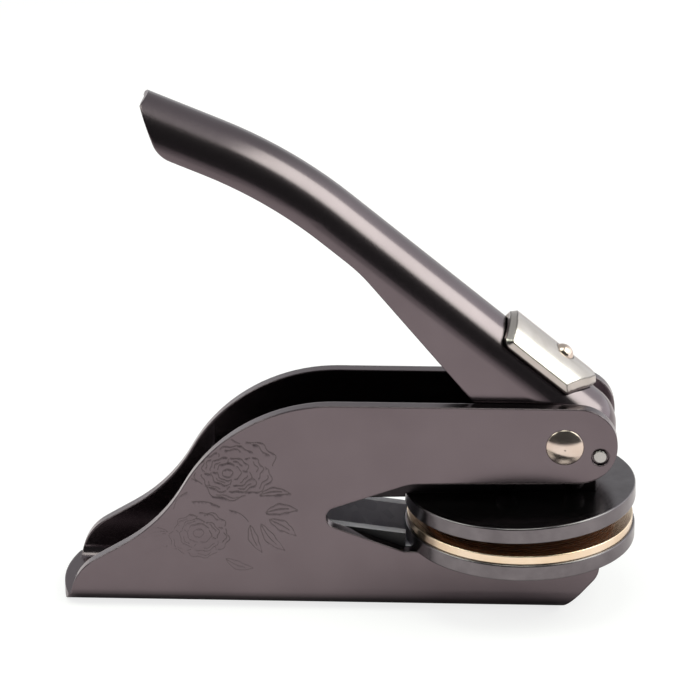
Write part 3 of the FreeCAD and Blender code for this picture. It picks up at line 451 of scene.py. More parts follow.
# Blackened and oiled steel of the blocks and the cam.
BLACKENED_STEEL = SatinPlating("blackened_steel", "4A4645", "3C3939", 0.42, 0.3, 0.001, 6.0)
# Drawn spring wire.
SPRING_WIRE = LinedMetal("drawn_spring_wire", "8E8E92", "7C7C80", 0.30, 90.0, 0.15, 2.0, 0.0004)


# ---------------------------------------------------------------- mesh helpers

def mesh_object(name: str, points: np.ndarray, faces: np.ndarray | list) -> bpy.types.Object:
    """New mesh object at the origin, linked to the scene.

    Args:
        name: object and mesh name.
        points: vertices in metres, one row each.
        faces: corner numbers of each face.

    Returns:
        The object.
    """
    mesh = bpy.data.meshes.new(name)
    mesh.from_pydata(points.tolist(), [], faces.tolist() if isinstance(faces, np.ndarray) else faces)
    mesh.update()
    piece = bpy.data.objects.new(name, mesh)
    bpy.context.scene.collection.objects.link(piece)
    return piece


def merged_mesh(node: bpy.types.Object) -> tuple[np.ndarray, np.ndarray]:
    """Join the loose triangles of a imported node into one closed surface.

    Corners that agree to a micrometre are one vertex, and triangles that lose a corner drop out.

    Args:
        node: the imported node.

    Returns:
        Vertices in metres, and triangles as vertex numbers.
    """
    mesh = node.data
    points = np.empty(len(mesh.vertices) * 3)
    mesh.vertices.foreach_get("co", points)
    corners = np.empty(len(mesh.loops), dtype=np.int64)
    mesh.loops.foreach_get("vertex_index", corners)
    points = points.reshape(-1, 3)
    _, first, same = np.unique(np.round(points / WELD_M).astype(np.int64), axis=0,
                               return_index=True, return_inverse=True)
    triangles = same.reshape(-1)[corners].reshape(-1, 3)
    whole = ((triangles[:, 0] != triangles[:, 1]) & (triangles[:, 1] != triangles[:, 2])
             & (triangles[:, 2] != triangles[:, 0]))
    return points[first], triangles[whole]


def soft_edged_copy(node_name: str, edge_mm: float, body: str,
                    material: bpy.types.Material, segments: int = 3) -> bpy.types.Object:
    """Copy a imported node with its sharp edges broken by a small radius, and let it stand for the node.

    Args:
        node_name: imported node.
        edge_mm: width of the broken edge.
        body: body that the piece rides on.
        material: finish.
        segments: faces across each broken edge.

    Returns:
        The copy, with a Bevel and a Weighted Normal modifier.
    """
    piece = mesh_object(f"{node_name}_skin", *merged_mesh(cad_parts[node_name]))
    shape = bmesh.new()
    shape.from_mesh(piece.data)
    bmesh.ops.dissolve_limit(shape, angle_limit=math.radians(COPLANAR_DEG), verts=shape.verts,
                             edges=shape.edges)
    for face in shape.faces:
        face.smooth = True
    shape.to_mesh(piece.data)
    shape.free()
    bevel = piece.modifiers.new("broken_edges", "BEVEL")
    bevel.width = edge_mm * MM
    bevel.segments = segments
    bevel.limit_method = "ANGLE"
    bevel.angle_limit = math.radians(SHARP_DEG)
    bevel.miter_outer = "MITER_ARC"
    weighted = piece.modifiers.new("face_normals", "WEIGHTED_NORMAL")
    weighted.keep_sharp = True
    piece.data.materials.append(material)
    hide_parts(node_name)
    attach(piece, body)
    log.info("%s: %d faces before its edges are broken", piece.name, len(piece.data.polygons))
    return piece


def dress_node(node_name: str, material: bpy.types.Material) -> None:
    """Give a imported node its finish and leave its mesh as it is.

    Args:
        node_name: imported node.
        material: finish.
    """
    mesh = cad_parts[node_name].data
    mesh.materials.clear()
    mesh.materials.append(material)
    log.info("%s: dressed as %s", node_name, material.name)


# ---------------------------------------------------------------- cheek engraving

@dataclass
class Blossom:
    """Open flower in line work: rings of wavy petals round a curled heart, in millimetres."""

    x_mm: float
    z_mm: float
    radius_mm: float
    turn_deg: float = 0.0
    squash: float = 0.78
    lean: tuple[float, float] = (0.16, 0.12)
    rings: tuple[tuple[int, float], ...] = ((2, 0.13), (3, 0.29), (4, 0.50), (5, 0.75), (5, 1.0))
    end_reach: float = 0.82
    crown: float = 0.18
    wave: float = 0.045
    wave_rate: float = 2.6 * math.pi
    stagger: float = 0.42
    uneven: float = 0.06
    first_folded: int = 2

    def place(self, radius: Curve, angle: Curve, share: float) -> Curve:
        """Points at polar places; a ring's middle moves from the heart by the lean as the ring widens.

        Args:
            radius: distances from the ring's middle in millimetres.
            angle: directions in radians.
            share: the ring's radius as a share of the flower's.

        Returns:
            Points, one row each.
        """
        middle = (self.x_mm + self.lean[0] * share * self.radius_mm,
                  self.z_mm + self.lean[1] * share * self.radius_mm)
        return np.stack([middle[0] + radius * np.cos(angle),
                         middle[1] + self.squash * radius * np.sin(angle)], 1)

    def rim(self, share: float, turn: float, half_angle: float, cover: float = 0.9) -> Curve:
        """Rim of one petal, an arc whose radius dips towards its ends as the root of one less t squared.

        Waves run along it, out of step from petal to petal, so the edge reads as folded.

        Args:
            share: the petal's radius as a share of the flower's.
            turn: direction of its middle in radians.
            half_angle: half the angle that one petal of the ring has.
            cover: share of that angle which the rim runs over.

        Returns:
            Points along the rim.
        """
        t = np.linspace(-cover, cover, 41)
        reach = ((self.end_reach + self.crown * np.sqrt(1.0 - t ** 2))
                 * (1.0 + self.wave * np.cos(self.wave_rate * t + 5.0 * turn)))
        return self.place(self.radius_mm * share * reach, turn + half_angle * t, share)

    def fold(self, share: float, inner: float, turn: float, bend: float) -> Curve:
        """Fold line from a ring inwards along its radius, with a slight bend."""
        t = np.linspace(0.0, 1.0, 9)
        return self.place(self.radius_mm * (share + (inner - share) * t), turn + bend * t ** 2, share)

    def curves(self) -> list[Curve]:
        """Every line of the flower: petal rims, and in the wider rings a fold and a second, shorter rim.

        Returns:
            The lines.
        """
        lines = []
        inner = 0.0
        for ring, (count, share) in enumerate(self.rings):
            for number in range(count):
                turn = math.radians(self.turn_deg) + 2.0 * math.pi * (number + self.stagger * ring) / count
                size = share * (1.0 + self.uneven * math.sin(2.3 * number + 1.7 * ring))
                half_angle = math.pi / count
                lines.append(self.rim(size, turn, half_angle))
                if ring >= self.first_folded:
                    lines.append(self.fold(0.84 * share, inner + 0.02, turn + half_angle, 0.10))
                    lines.append(self.rim(size - 0.10, turn + 0.15 * half_angle, half_angle, 0.45))
            inner = share
        return lines


@dataclass
class Leaf:
    """Pointed leaf in line work, from its foot to its tip, with a midrib."""

    foot: tuple[float, float]
    tip: tuple[float, float]
    half_width_mm: float
    bow: float = 0.10
    belly: float = 0.85
    tooth: float = 0.10
    tooth_rate: float = 18.0
    rib_points: int = 30

    def along(self, t: Curve, aside: Curve) -> Curve:
        """Points beside the midrib, whose bow is a sine of the leaf's length.

        Args:
            t: shares of the length.
            aside: distances from the midrib in millimetres.

        Returns:
            Points, one row each.
        """
        foot, tip = np.array(self.foot), np.array(self.tip)
        run = tip - foot
        across = np.array([-run[1], run[0]]) / np.hypot(*run)
        bow = self.bow * np.hypot(*run) * np.sin(math.pi * t)
        return foot + t[:, None] * run + (bow + aside)[:, None] * across

    def curves(self) -> list[Curve]:
        """Outline and midrib; the outline's half width is a sine of the length with small teeth.

        Returns:
            The two sides and the midrib.
        """
        t = np.linspace(0.0, 1.0, 41)
        teeth = 1.0 + self.tooth * np.sin(self.tooth_rate * t)
        edge = self.half_width_mm * np.sin(math.pi * t ** self.belly) * teeth
        rib = self.along(t[:self.rib_points], np.zeros(self.rib_points))
        return [self.along(t, edge), self.along(t, -edge), rib]


@dataclass
class Spray:
    """Floral ornament on both cheeks: two blossoms, a fan of leaves, and loose strokes towards the tail."""

    low_x_mm: float = -66.0
    high_x_mm: float = -10.5
    low_z_mm: float = 6.5
    high_z_mm: float = 50.0
    step_mm: float = 0.3
    half_width_mm: float = 0.26
    depth_mm: float = 0.11
    wear_middle_mm: tuple[float, float] = (-24.0, 33.0)
    wear_start: float = 1.15
    wear_per_mm: float = 0.02
    worn_share: float = 0.5
    apart_mm: float = 0.1
    far_mm: float = 9.0
    blossoms: tuple[Blossom, ...] = (
        Blossom(-28.6, 36.0, 10.2, 62.0),
        Blossom(-35.8, 20.3, 7.2, 40.0, 0.84, (0.06, -0.10), ((2, 0.18), (3, 0.42), (4, 0.70), (5, 1.0))),
    )
    leaves: tuple[Leaf, ...] = (
        Leaf((-20.8, 30.4), (-13.3, 30.9), 1.0, 0.12),
        Leaf((-19.4, 25.8), (-11.6, 26.6), 1.3, 0.10),
        Leaf((-18.6, 24.0), (-12.1, 19.8), 1.3, 0.06),
        Leaf((-20.6, 22.8), (-14.8, 15.8), 1.2, -0.08),
        Leaf((-23.2, 22.4), (-20.4, 15.2), 1.1, -0.08),
        Leaf((-29.2, 13.4), (-22.6, 11.0), 1.1, -0.10),
        Leaf((-43.2, 20.4), (-49.4, 18.8), 1.1, -0.12),
        Leaf((-43.4, 16.6), (-50.2, 13.4), 1.2, 0.10),
    )

    def tendrils(self) -> list[Curve]:
        """Stems and loose strokes: arcs whose bow is a sine of their length.

        Returns:
            The strokes.
        """
        ends = (((-38.2, 31.0), (-41.6, 26.4), -0.14), ((-37.2, 28.4), (-30.4, 27.2), 0.10),
                ((-28.2, 26.4), (-23.6, 23.4), 0.12), ((-41.0, 11.2), (-32.4, 8.6), -0.14),
                ((-52.4, 13.1), (-55.0, 14.3), 0.10), ((-55.2, 9.8), (-59.2, 11.0), 0.10),
                ((-49.2, 16.0), (-51.2, 17.4), -0.12), ((-57.6, 7.4), (-61.8, 8.6), 0.16),
                ((-45.6, 11.2), (-50.4, 8.8), 0.12))
        t = np.linspace(0.0, 1.0, 25)
        lines = []
        for start, end, bow in ends:
            start, run = np.array(start), np.array(end) - np.array(start)
            across = np.array([-run[1], run[0]])
            lines.append(start + t[:, None] * run + (bow * np.sin(math.pi * t))[:, None] * across)
        return lines

    def lines(self) -> list[Curve]:
        """Every line of the ornament."""
        return [curve for item in self.blossoms + self.leaves for curve in item.curves()] + self.tendrils()

    def distance(self, points: np.ndarray) -> np.ndarray:
        """Distance from each point to the nearest line, worked out line by line for the points beside it.

        The distance to a straight piece is that to the foot of the perpendicular on it.

        Args:
            points: places on the cheek in millimetres.

        Returns:
            Distances in millimetres; points beside no line keep far_mm.
        """
        nearest = np.full(len(points), self.far_mm)
        for line in self.lines():
            beside = np.flatnonzero(((points > line.min(0) - self.half_width_mm)
                                     & (points < line.max(0) + self.half_width_mm)).all(1))
            run = np.diff(line, axis=0)
            offset = points[beside, None, :] - line[None, :-1]
            share = np.clip((offset * run).sum(2) / np.maximum((run ** 2).sum(1), 1e-12), 0.0, 1.0)
            gap = np.sqrt(((offset - share[..., None] * run) ** 2).sum(2).min(1))
            nearest[beside] = np.minimum(nearest[beside], gap)
        return nearest

    def depth(self, points: np.ndarray) -> np.ndarray:
        """Groove depth in millimetres: a raised cosine across each line, fading out at the field's edge.

        The lines are rubbed down with distance from the upper blossom, to worn_share of their depth.

        Args:
            points: places on the cheek in millimetres.

        Returns:
            Depths in millimetres.
        """
        gap = np.clip(self.distance(points) / self.half_width_mm, 0.0, 1.0)
        inset = np.minimum.reduce([points[:, 0] - self.low_x_mm, self.high_x_mm - points[:, 0],
                                   points[:, 1] - self.low_z_mm, self.high_z_mm - points[:, 1]])
        away = np.hypot(*(points - np.array(self.wear_middle_mm)).T)
        wear = np.clip(self.wear_start - self.wear_per_mm * away, self.worn_share, 1.0)
        return self.depth_mm * wear * (0.5 + 0.5 * np.cos(math.pi * gap)) * np.clip(inset, 0.0, 1.0)

    def lattice(self) -> np.ndarray:
        """Places of the vertices that carry the grooves.

        Five rows run along each line, at its middle and at half and whole half widths to both sides, and
        each row goes on past the line's ends by a half width. Of places in one cell of a grid of apart_mm,
        one is kept.

        Returns:
            Places inside the field, in millimetres.
        """
        rows = []
        for line in self.lines():
            run = np.concatenate([[0.0], np.cumsum(np.hypot(*np.diff(line, axis=0).T))])
            steps = np.linspace(0.0, run[-1], max(3, int(run[-1] / self.step_mm) + 1))
            path = np.stack([np.interp(steps, run, line[:, axis]) for axis in (0, 1)], 1)
            ahead = np.gradient(path, axis=0)
            ahead /= np.hypot(*ahead.T)[:, None]
            path = np.concatenate([path[:1] - self.half_width_mm * ahead[:1], path,
                                   path[-1:] + self.half_width_mm * ahead[-1:]])
            ahead = np.concatenate([ahead[:1], ahead, ahead[-1:]])
            across = self.half_width_mm * np.stack([-ahead[:, 1], ahead[:, 0]], 1)
            rows += [path + share * across for share in (-1.0, -0.5, 0.0, 0.5, 1.0)]
        points = np.concatenate(rows)
        _, first = np.unique(np.round(points / self.apart_mm).astype(np.int64), axis=0, return_index=True)
        points = points[np.sort(first)]
        return points[(points[:, 0] > self.low_x_mm) & (points[:, 0] < self.high_x_mm)
                      & (points[:, 1] > self.low_z_mm) & (points[:, 1] < self.high_z_mm)]


def inside_polygon(points: np.ndarray, loop: np.ndarray, margin: float) -> np.ndarray:
    """Which points lie inside a closed loop and further from it than a margin.

    A point is inside when a level ray from it crosses the loop an odd number of times.

    Args:
        points: points to sort.
        loop: corners of the loop.
        margin: least distance from the loop.

    Returns:
        One truth value for each point.
    """
    inside, near = np.zeros((2, len(points)), dtype=bool)
    for start, end in zip(loop, np.roll(loop, -1, axis=0)):
        run = end - start
        if run[1]:
            crosses = (start[1] > points[:, 1]) != (end[1] > points[:, 1])
            meet = start[0] + (points[:, 1] - start[1]) * run[0] / run[1]
            inside ^= crosses & (points[:, 0] < meet)
        share = np.clip(((points - start) @ run) / max(run @ run, 1e-12), 0.0, 1.0)
        near |= np.hypot(*(points - start - share[:, None] * run).T) < margin
    return inside & ~near


# ---------------------------------------------------------------- sub-assemblies

@dataclass
class FoldedFrame:
    """Folded frame with its engraved cheeks."""

    edge_mm: float = 0.6
    half_width_mm: float = 13.0
    rim_margin_mm: float = 0.45
    shaded_groove_share: float = 0.55
    flat_deg: float = 0.05
    facing_slack: float = 1e-4
    level_slack_m: float = 2e-6
    meet_mm: float = 1e-7
    spray: Spray = field(default_factory=Spray)

    def engrave(self, shape: bmesh.types.BMesh, side: Side) -> int:
        """Cut the ornament into one cheek's flat outer face.

        The face is taken out and filled again with a constrained triangulation of its own rim, its holes
        and the ornament's vertices, and those vertices sink by the groove's depth. Where the mean depth of
        a triangle is over a share of the full depth, it takes the frame's second material, a darker colour
        that paints shade in the groove.

        Args:
            shape: mesh of the frame, edges already broken.
            side: cheek.

        Returns:
            Number of vertices added.
        """
        level = side.value * self.half_width_mm * MM
        shaded_groove_mm = self.shaded_groove_share * self.spray.depth_mm
        flats = {face for face in shape.faces if abs(face.normal.y * side.value - 1.0) < self.facing_slack
                 and all(abs(vertex.co.y - level) < self.level_slack_m for vertex in face.verts)}
        rim = [edge for edge in {edge for face in flats for edge in face.edges}
               if sum(face in flats for face in edge.link_faces) == 1]
        corners = list({vertex for edge in rim for vertex in edge.verts})
        number = {vertex: index for index, vertex in enumerate(corners)}
        joins = [(number[edge.verts[0]], number[edge.verts[1]]) for edge in rim]
        flat_points = np.array([(vertex.co.x, vertex.co.z) for vertex in corners]) / MM
        outline, *holes = self.walk(joins, flat_points)
        lattice = self.spray.lattice()
        lattice = lattice[inside_polygon(lattice, outline, self.rim_margin_mm)]
        every = np.concatenate([flat_points, lattice])
        where, _, triangles, origin, _, _ = delaunay_2d_cdt(
            [Vector(point) for point in every.tolist()], joins, [], 0, self.meet_mm)
        bmesh.ops.delete(shape, geom=list(flats), context="FACES_ONLY")
        places = np.array([tuple(point) for point in where])
        sink = self.spray.depth(places)
        vertices, on_rim = [], []
        for point, depth, source in zip(where, sink, origin):
            on_rim.append(bool(source) and source[0] < len(corners))
            vertices.append(corners[source[0]] if on_rim[-1] else shape.verts.new(
                (point.x * MM, level - side.value * depth * MM, point.y * MM)))
        triangles = np.array(triangles)
        outer = np.array(on_rim)[triangles].all(1)
        middles = places[triangles[outer]].mean(1)
        solid = inside_polygon(middles, outline, 0.0)
        for hole in holes:
            solid &= ~inside_polygon(middles, hole, 0.0)
        kept = np.concatenate([triangles[~outer], triangles[outer][solid]])
        for corner in kept.tolist():
            ring = [vertices[index] for index in corner]
            face = shape.faces.new(ring if side is Side.NEAR else ring[::-1])
            face.smooth = True
            # deep triangles take the darker material: painted shade in the groove
            face.material_index = int(sink[corner].mean() > shaded_groove_mm)
        return len(vertices) - len(corners)

    @staticmethod
    def walk(joins: list[tuple[int, int]], points: np.ndarray) -> list[np.ndarray]:
        """Follow rim edges into loops.

        Args:
            joins: corner numbers of each edge.
            points: corners in millimetres.

        Returns:
            Corners of each loop, the loop with the longest reach first.
        """
        beside: dict[int, list[int]] = {}
        for first, second in joins:
            beside.setdefault(first, []).append(second)
            beside.setdefault(second, []).append(first)
        loops = []
        left = set(beside)
        while left:
            start = left.pop()
            loop, before, here = [start], start, beside[start][0]
            while here != start:
                loop.append(here)
                left.discard(here)
                ahead = beside[here]
                before, here = here, ahead[0] if ahead[0] != before else ahead[1]
            loops.append(points[loop])
        return sorted(loops, key=lambda loop: -np.ptp(loop[:, 0]))

    def build(self) -> None:
        """Break the sheet's edges, engrave both cheeks and dress the frame."""
        piece = soft_edged_copy("frame_body", self.edge_mm, "frame", GUNMETAL.material())
        # second material: painted shade in the engraved grooves
        piece.data.materials.append(GROOVE_DARK.material())
        piece.modifiers.remove(piece.modifiers["face_normals"])
        evaluated = piece.evaluated_get(bpy.context.evaluated_depsgraph_get())
        shape = bmesh.new()
        shape.from_mesh(evaluated.to_mesh())
        evaluated.to_mesh_clear()
        piece.modifiers.clear()
        bmesh.ops.dissolve_limit(shape, angle_limit=math.radians(self.flat_deg), verts=shape.verts,
                                 edges=shape.edges)
        for side in Side:
            added = self.engrave(shape, side)
            log.info("cheek %s: %d engraving vertices", side.name, added)
        shape.to_mesh(piece.data)
        shape.free()
        weighted = piece.modifiers.new("face_normals", "WEIGHTED_NORMAL")
        weighted.keep_sharp = True
        log.info("frame: %d faces", len(piece.data.polygons))


@dataclass
class DieSet:
    """Both die plates, the brass die and the resin counter-die."""

    plate_edge_mm: float = 0.45
    die_edge_mm: float = 0.2

    def build(self) -> None:
        """Break the discs' edges and dress them."""
        plate = TURNED_PLATE.material()
        soft_edged_copy("lower_die_holder", self.plate_edge_mm, "frame", plate)
        soft_edged_copy("upper_die_holder", self.plate_edge_mm, "arm", plate)
        soft_edged_copy("lower_die", self.die_edge_mm, "frame", TURNED_BRASS.material())
        soft_edged_copy("upper_die", self.die_edge_mm, "arm", COUNTER_RESIN.material())


@dataclass
class InnerWorks:
    """Channel, arm, blocks, fasteners and spring between the cheeks."""

    sheet_edge_mm: float = 0.35

    def build(self) -> None:
        """Dress the pieces; the sheet ones get broken edges."""
        # nearly black: dark plating and painted shade in the throat
        dull = DARK_PLATING_AND_SHADE.material()
        soft_edged_copy("anvil_channel", self.sheet_edge_mm, "frame", CHANNEL_ZINC.material())
        soft_edged_copy("upper_arm", self.sheet_edge_mm, "arm", dull)
        dress_node("arm_rivets", dull)
        black = BLACKENED_STEEL.material()
        for name in ("anvil_block", "arm_block", "press_cam", "lock_plate", "lock_keeper"):
            dress_node(name, black)
        steel = GROUND_STEEL.material()
        for name in ("hinge_pin", "pivot_washers", "hinge_washers", "channel_rivets",
                     "lower_holder_screws", "upper_holder_screws", "spring_post", "cam_rivets"):
            dress_node(name, steel)
        dress_node("return_spring", SPRING_WIRE.material())
        self.squash_spring(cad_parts["return_spring"])

    def squash_spring(self, node: bpy.types.Object) -> None:
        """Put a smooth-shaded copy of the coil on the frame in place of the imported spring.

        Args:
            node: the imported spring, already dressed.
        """
        coil = mesh_object("return_spring_coil", *merged_mesh(node))
        for face in coil.data.polygons:
            face.use_smooth = True
        coil.data.materials.append(node.data.materials[0])
        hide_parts("return_spring")
        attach(coil, "frame")
        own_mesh(coil)


@dataclass
class Lever:
    """Pressed lever, its slide lock and the pins seen from outside."""

    sheet_edge_mm: float = 0.3
    cover_edge_mm: float = 0.3
    pin_edge_mm: float = 0.25

    def build(self) -> None:
        """Break the sheet's edges and dress lever, cover, stud and pins."""
        soft_edged_copy("lever_shell", self.sheet_edge_mm, "lever", GUNMETAL.material())
        soft_edged_copy("lock_cover", self.cover_edge_mm, "lock_slider",
                        BUFFED_NICKEL.material(), 2)
        nickel = POLISHED_NICKEL.material()
        dress_node("pivot_pin", nickel)
        dress_node("lock_stud", nickel)
        soft_edged_copy("stop_pin", self.pin_edge_mm, "frame", GROUND_STEEL.material())


# ---------------------------------------------------------------- studio and camera

@dataclass
class SoftBox:
    """Lamp panel, aimed at the object's middle."""

    name: str
    azimuth_deg: float
    elevation_deg: float
    distance_m: float
    width_m: float
    height_m: float
    radiance: float
    colour: tuple[float, float, float] = (0.925, 1.0, 0.87)

    def build(self, aim: Vector) -> None:
        """Place the panel; its power in watts is radiance times pi times its area.

        Args:
            aim: place that it faces, in metres.
        """
        azimuth, elevation = math.radians(self.azimuth_deg), math.radians(self.elevation_deg)
        way = Vector((math.sin(azimuth) * math.cos(elevation), math.cos(azimuth) * math.cos(elevation),
                      math.sin(elevation)))
        lamp = bpy.data.lights.new(self.name, "AREA")
        lamp.shape = "RECTANGLE"
        lamp.size = self.width_m
        lamp.size_y = self.height_m
        lamp.color = self.colour
        lamp.energy = self.radiance * math.pi * self.width_m * self.height_m
        item = bpy.data.objects.new(self.name, lamp)
        item.location = aim + way * self.distance_m
        item.rotation_euler = way.to_track_quat("Z", "Y").to_euler()
        bpy.context.scene.collection.objects.link(item)


@dataclass
class Studio:
    """White sweep, two side panels, a top panel, and the room round them as metal mirrors it.

    Ramps that end in _m run over metres on the floor: along Y for a painted falloff of light, out from the
    foot and out from under the dies for painted shadow. The room's ramps run over a direction's Z, X and Y.
    Each glow is a strength of light.
    """

    floor_m: float = 6.0
    floor_gap_m: float = 0.0001
    world_light: float = 0.42
    room_m: float = 2.9
    room_columns: int = 48
    room_rows: int = 25
    room_rise: float = 1.2
    room_tint: tuple[float, float, float, float] = (0.97, 0.99, 1.0, 1.0)
    foot_mm: tuple[float, float] = (66.0, 11.0)
    dies_mm: float = 41.75
    paper_shade: float = 0.775
    seen_shade: float = 0.31
    seen_glow: float = 0.77
    mirrored_tint: tuple[float, float, float] = (0.83, 0.755, 0.79)
    mirrored_glow: float = 0.15
    front_fade_m: Ramp = Ramp(-0.47, -0.31, 0.58, 1.0)
    foot_shadow_m: Ramp = Ramp(-0.002, 0.007, 0.15, 1.0)
    dies_shadow_m: Ramp = Ramp(0.020, 0.062, 0.70, 1.0)
    room_height: Ramp = Ramp(0.0, 0.5, 0.80, 0.43)
    room_right: Ramp = Ramp(0.3, 0.85, 0.0, 0.9)
    room_front: Ramp = Ramp(-0.5, -0.2, 0.0, 1.0)
    room_glow: float = 0.05
    boxes: tuple[SoftBox, ...] = (
        SoftBox("panel_right", 97.0, 42.5, 0.95, 0.72, 0.67, 3.35),
        SoftBox("panel_left", -104.0, 42.0, 0.95, 0.60, 0.45, 3.0),
        SoftBox("panel_top", 0.0, 100.0, 1.1, 0.47, 0.47, 3.5),
    )
    aim: tuple[float, float, float] = (0.0, 0.0, 0.06)

    def floor(self) -> None:
        """White floor: it takes the object's shadow, and reads as plain white where nothing shades it."""
        half = self.floor_m / 2
        corners = np.array([(-half, -half, 0.0), (half, -half, 0.0), (half, half, 0.0), (-half, half, 0.0)])
        piece = mesh_object("floor", corners - np.array([0.0, 0.0, self.floor_gap_m]), [(0, 1, 2, 3)])
        material, tree = blank_material("white_paper_sweep")
        path = add(tree, "ShaderNodeLightPath")
        plain = add(tree, "ShaderNodeBsdfDiffuse", None, {"Color": (*(self.paper_shade,) * 3, 1.0)})
        mirrored = self.mirrored_paper(tree)
        seen = self.glowing_paper(tree, (*(self.seen_shade,) * 3, 1.0), self.seen_glow)
        first = add(tree, "ShaderNodeMixShader", None, {
            0: path.outputs["Is Glossy Ray"], 1: plain.outputs["BSDF"], 2: mirrored})
        straight = add(tree, "ShaderNodeMath", {"operation": "MAXIMUM"}, {
            0: path.outputs["Is Camera Ray"], 1: path.outputs["Is Transmission Ray"]})
        second = add(tree, "ShaderNodeMixShader", None, {
            0: straight.outputs["Value"], 1: first.outputs["Shader"], 2: seen})
        add(tree, "ShaderNodeOutputMaterial", None, {"Surface": second.outputs["Shader"]})
        piece.data.materials.append(material)

    def mirrored_paper(self, tree: bpy.types.NodeTree) -> Socket:
        """Paper as metal mirrors it, with painted light and shade: dimmer far out in front, and painted
        shadow by the object's foot and under the dies.

        Distance from the foot is the length of how far a place lies outside a rectangle, along X and Y.

        Args:
            tree: the floor's node tree.

        Returns:
            The paper's shader.
        """
        place = add(tree, "ShaderNodeTexCoord").outputs["Object"]
        part = add(tree, "ShaderNodeSeparateXYZ", None, {"Vector": place})
        # painted falloff of light far out in front
        out = add(tree, "ShaderNodeMapRange", SMOOTH, self.front_fade_m.sockets(part.outputs["Y"]))
        span = add(tree, "ShaderNodeVectorMath", {"operation": "ABSOLUTE"}, {0: place})
        beyond = add(tree, "ShaderNodeVectorMath", {"operation": "SUBTRACT"}, {
            0: span.outputs["Vector"], 1: (self.foot_mm[0] * MM, self.foot_mm[1] * MM, 1.0)})
        outside = add(tree, "ShaderNodeVectorMath", {"operation": "MAXIMUM"}, {
            0: beyond.outputs["Vector"], 1: (0.0, 0.0, 0.0)})
        gap = add(tree, "ShaderNodeVectorMath", {"operation": "LENGTH"}, {0: outside.outputs["Vector"]})
        # painted shadow by the object's foot, seen only in reflections
        near = add(tree, "ShaderNodeMapRange", SMOOTHER, self.foot_shadow_m.sockets(gap.outputs["Value"]))
        aside = add(tree, "ShaderNodeVectorMath", {"operation": "DISTANCE"}, {
            0: place, 1: (self.dies_mm * MM, 0.0, 0.0)})
        # painted shadow under the dies
        under = add(tree, "ShaderNodeMapRange", SMOOTH, self.dies_shadow_m.sockets(aside.outputs["Value"]))
        shade = add(tree, "ShaderNodeMath", {"operation": "MULTIPLY"}, {
            0: near.outputs["Result"], 1: under.outputs["Result"]})
        level = add(tree, "ShaderNodeMath", {"operation": "MULTIPLY"}, {
            0: out.outputs["Result"], 1: shade.outputs["Value"]})
        tint = add(tree, "ShaderNodeVectorMath", {"operation": "SCALE"}, {
            0: self.mirrored_tint, "Scale": level.outputs["Value"]})
        dim = add(tree, "ShaderNodeMath", {"operation": "MULTIPLY"}, {
            0: level.outputs["Value"], 1: self.mirrored_glow})
        return self.glowing_paper(tree, tint.outputs["Vector"], dim.outputs["Value"])

    @staticmethod
    def glowing_paper(tree: bpy.types.NodeTree, colour: Socket | tuple[float, ...],
                      glow: Socket | float) -> Socket:
        """Paper that shows shadows, lifted by a glow of its own.

        Args:
            tree: the floor's node tree.
            colour: colour of the paper.
            glow: strength of the glow.

        Returns:
            The paper's shader.
        """
        paper = add(tree, "ShaderNodeBsdfDiffuse", None, {"Color": colour})
        light = add(tree, "ShaderNodeEmission", None, {"Color": WHITE, "Strength": glow})
        return add(tree, "ShaderNodeAddShader", None, {
            0: paper.outputs["BSDF"], 1: light.outputs["Emission"]}).outputs["Shader"]

    def backdrop(self) -> None:
        """World: white where it is seen or mirrored, and a plain soft light elsewhere."""
        world = bpy.data.worlds.new("studio_world")
        world.use_nodes = True
        tree = world.node_tree
        tree.nodes.clear()
        path = add(tree, "ShaderNodeLightPath")
        first = add(tree, "ShaderNodeMath", {"operation": "MAXIMUM"}, {
            0: path.outputs["Is Camera Ray"], 1: path.outputs["Is Glossy Ray"]})
        seen = add(tree, "ShaderNodeMath", {"operation": "MAXIMUM"}, {
            0: first.outputs["Value"], 1: path.outputs["Is Transmission Ray"]})
        strength = add(tree, "ShaderNodeMapRange", None, {
            "Value": seen.outputs["Value"], "To Min": self.world_light, "To Max": 1.0})
        light = add(tree, "ShaderNodeBackground", None, {
            "Color": WHITE, "Strength": strength.outputs["Result"]})
        add(tree, "ShaderNodeOutputWorld", None, {"Surface": light.outputs["Background"]})
        bpy.context.scene.world = world

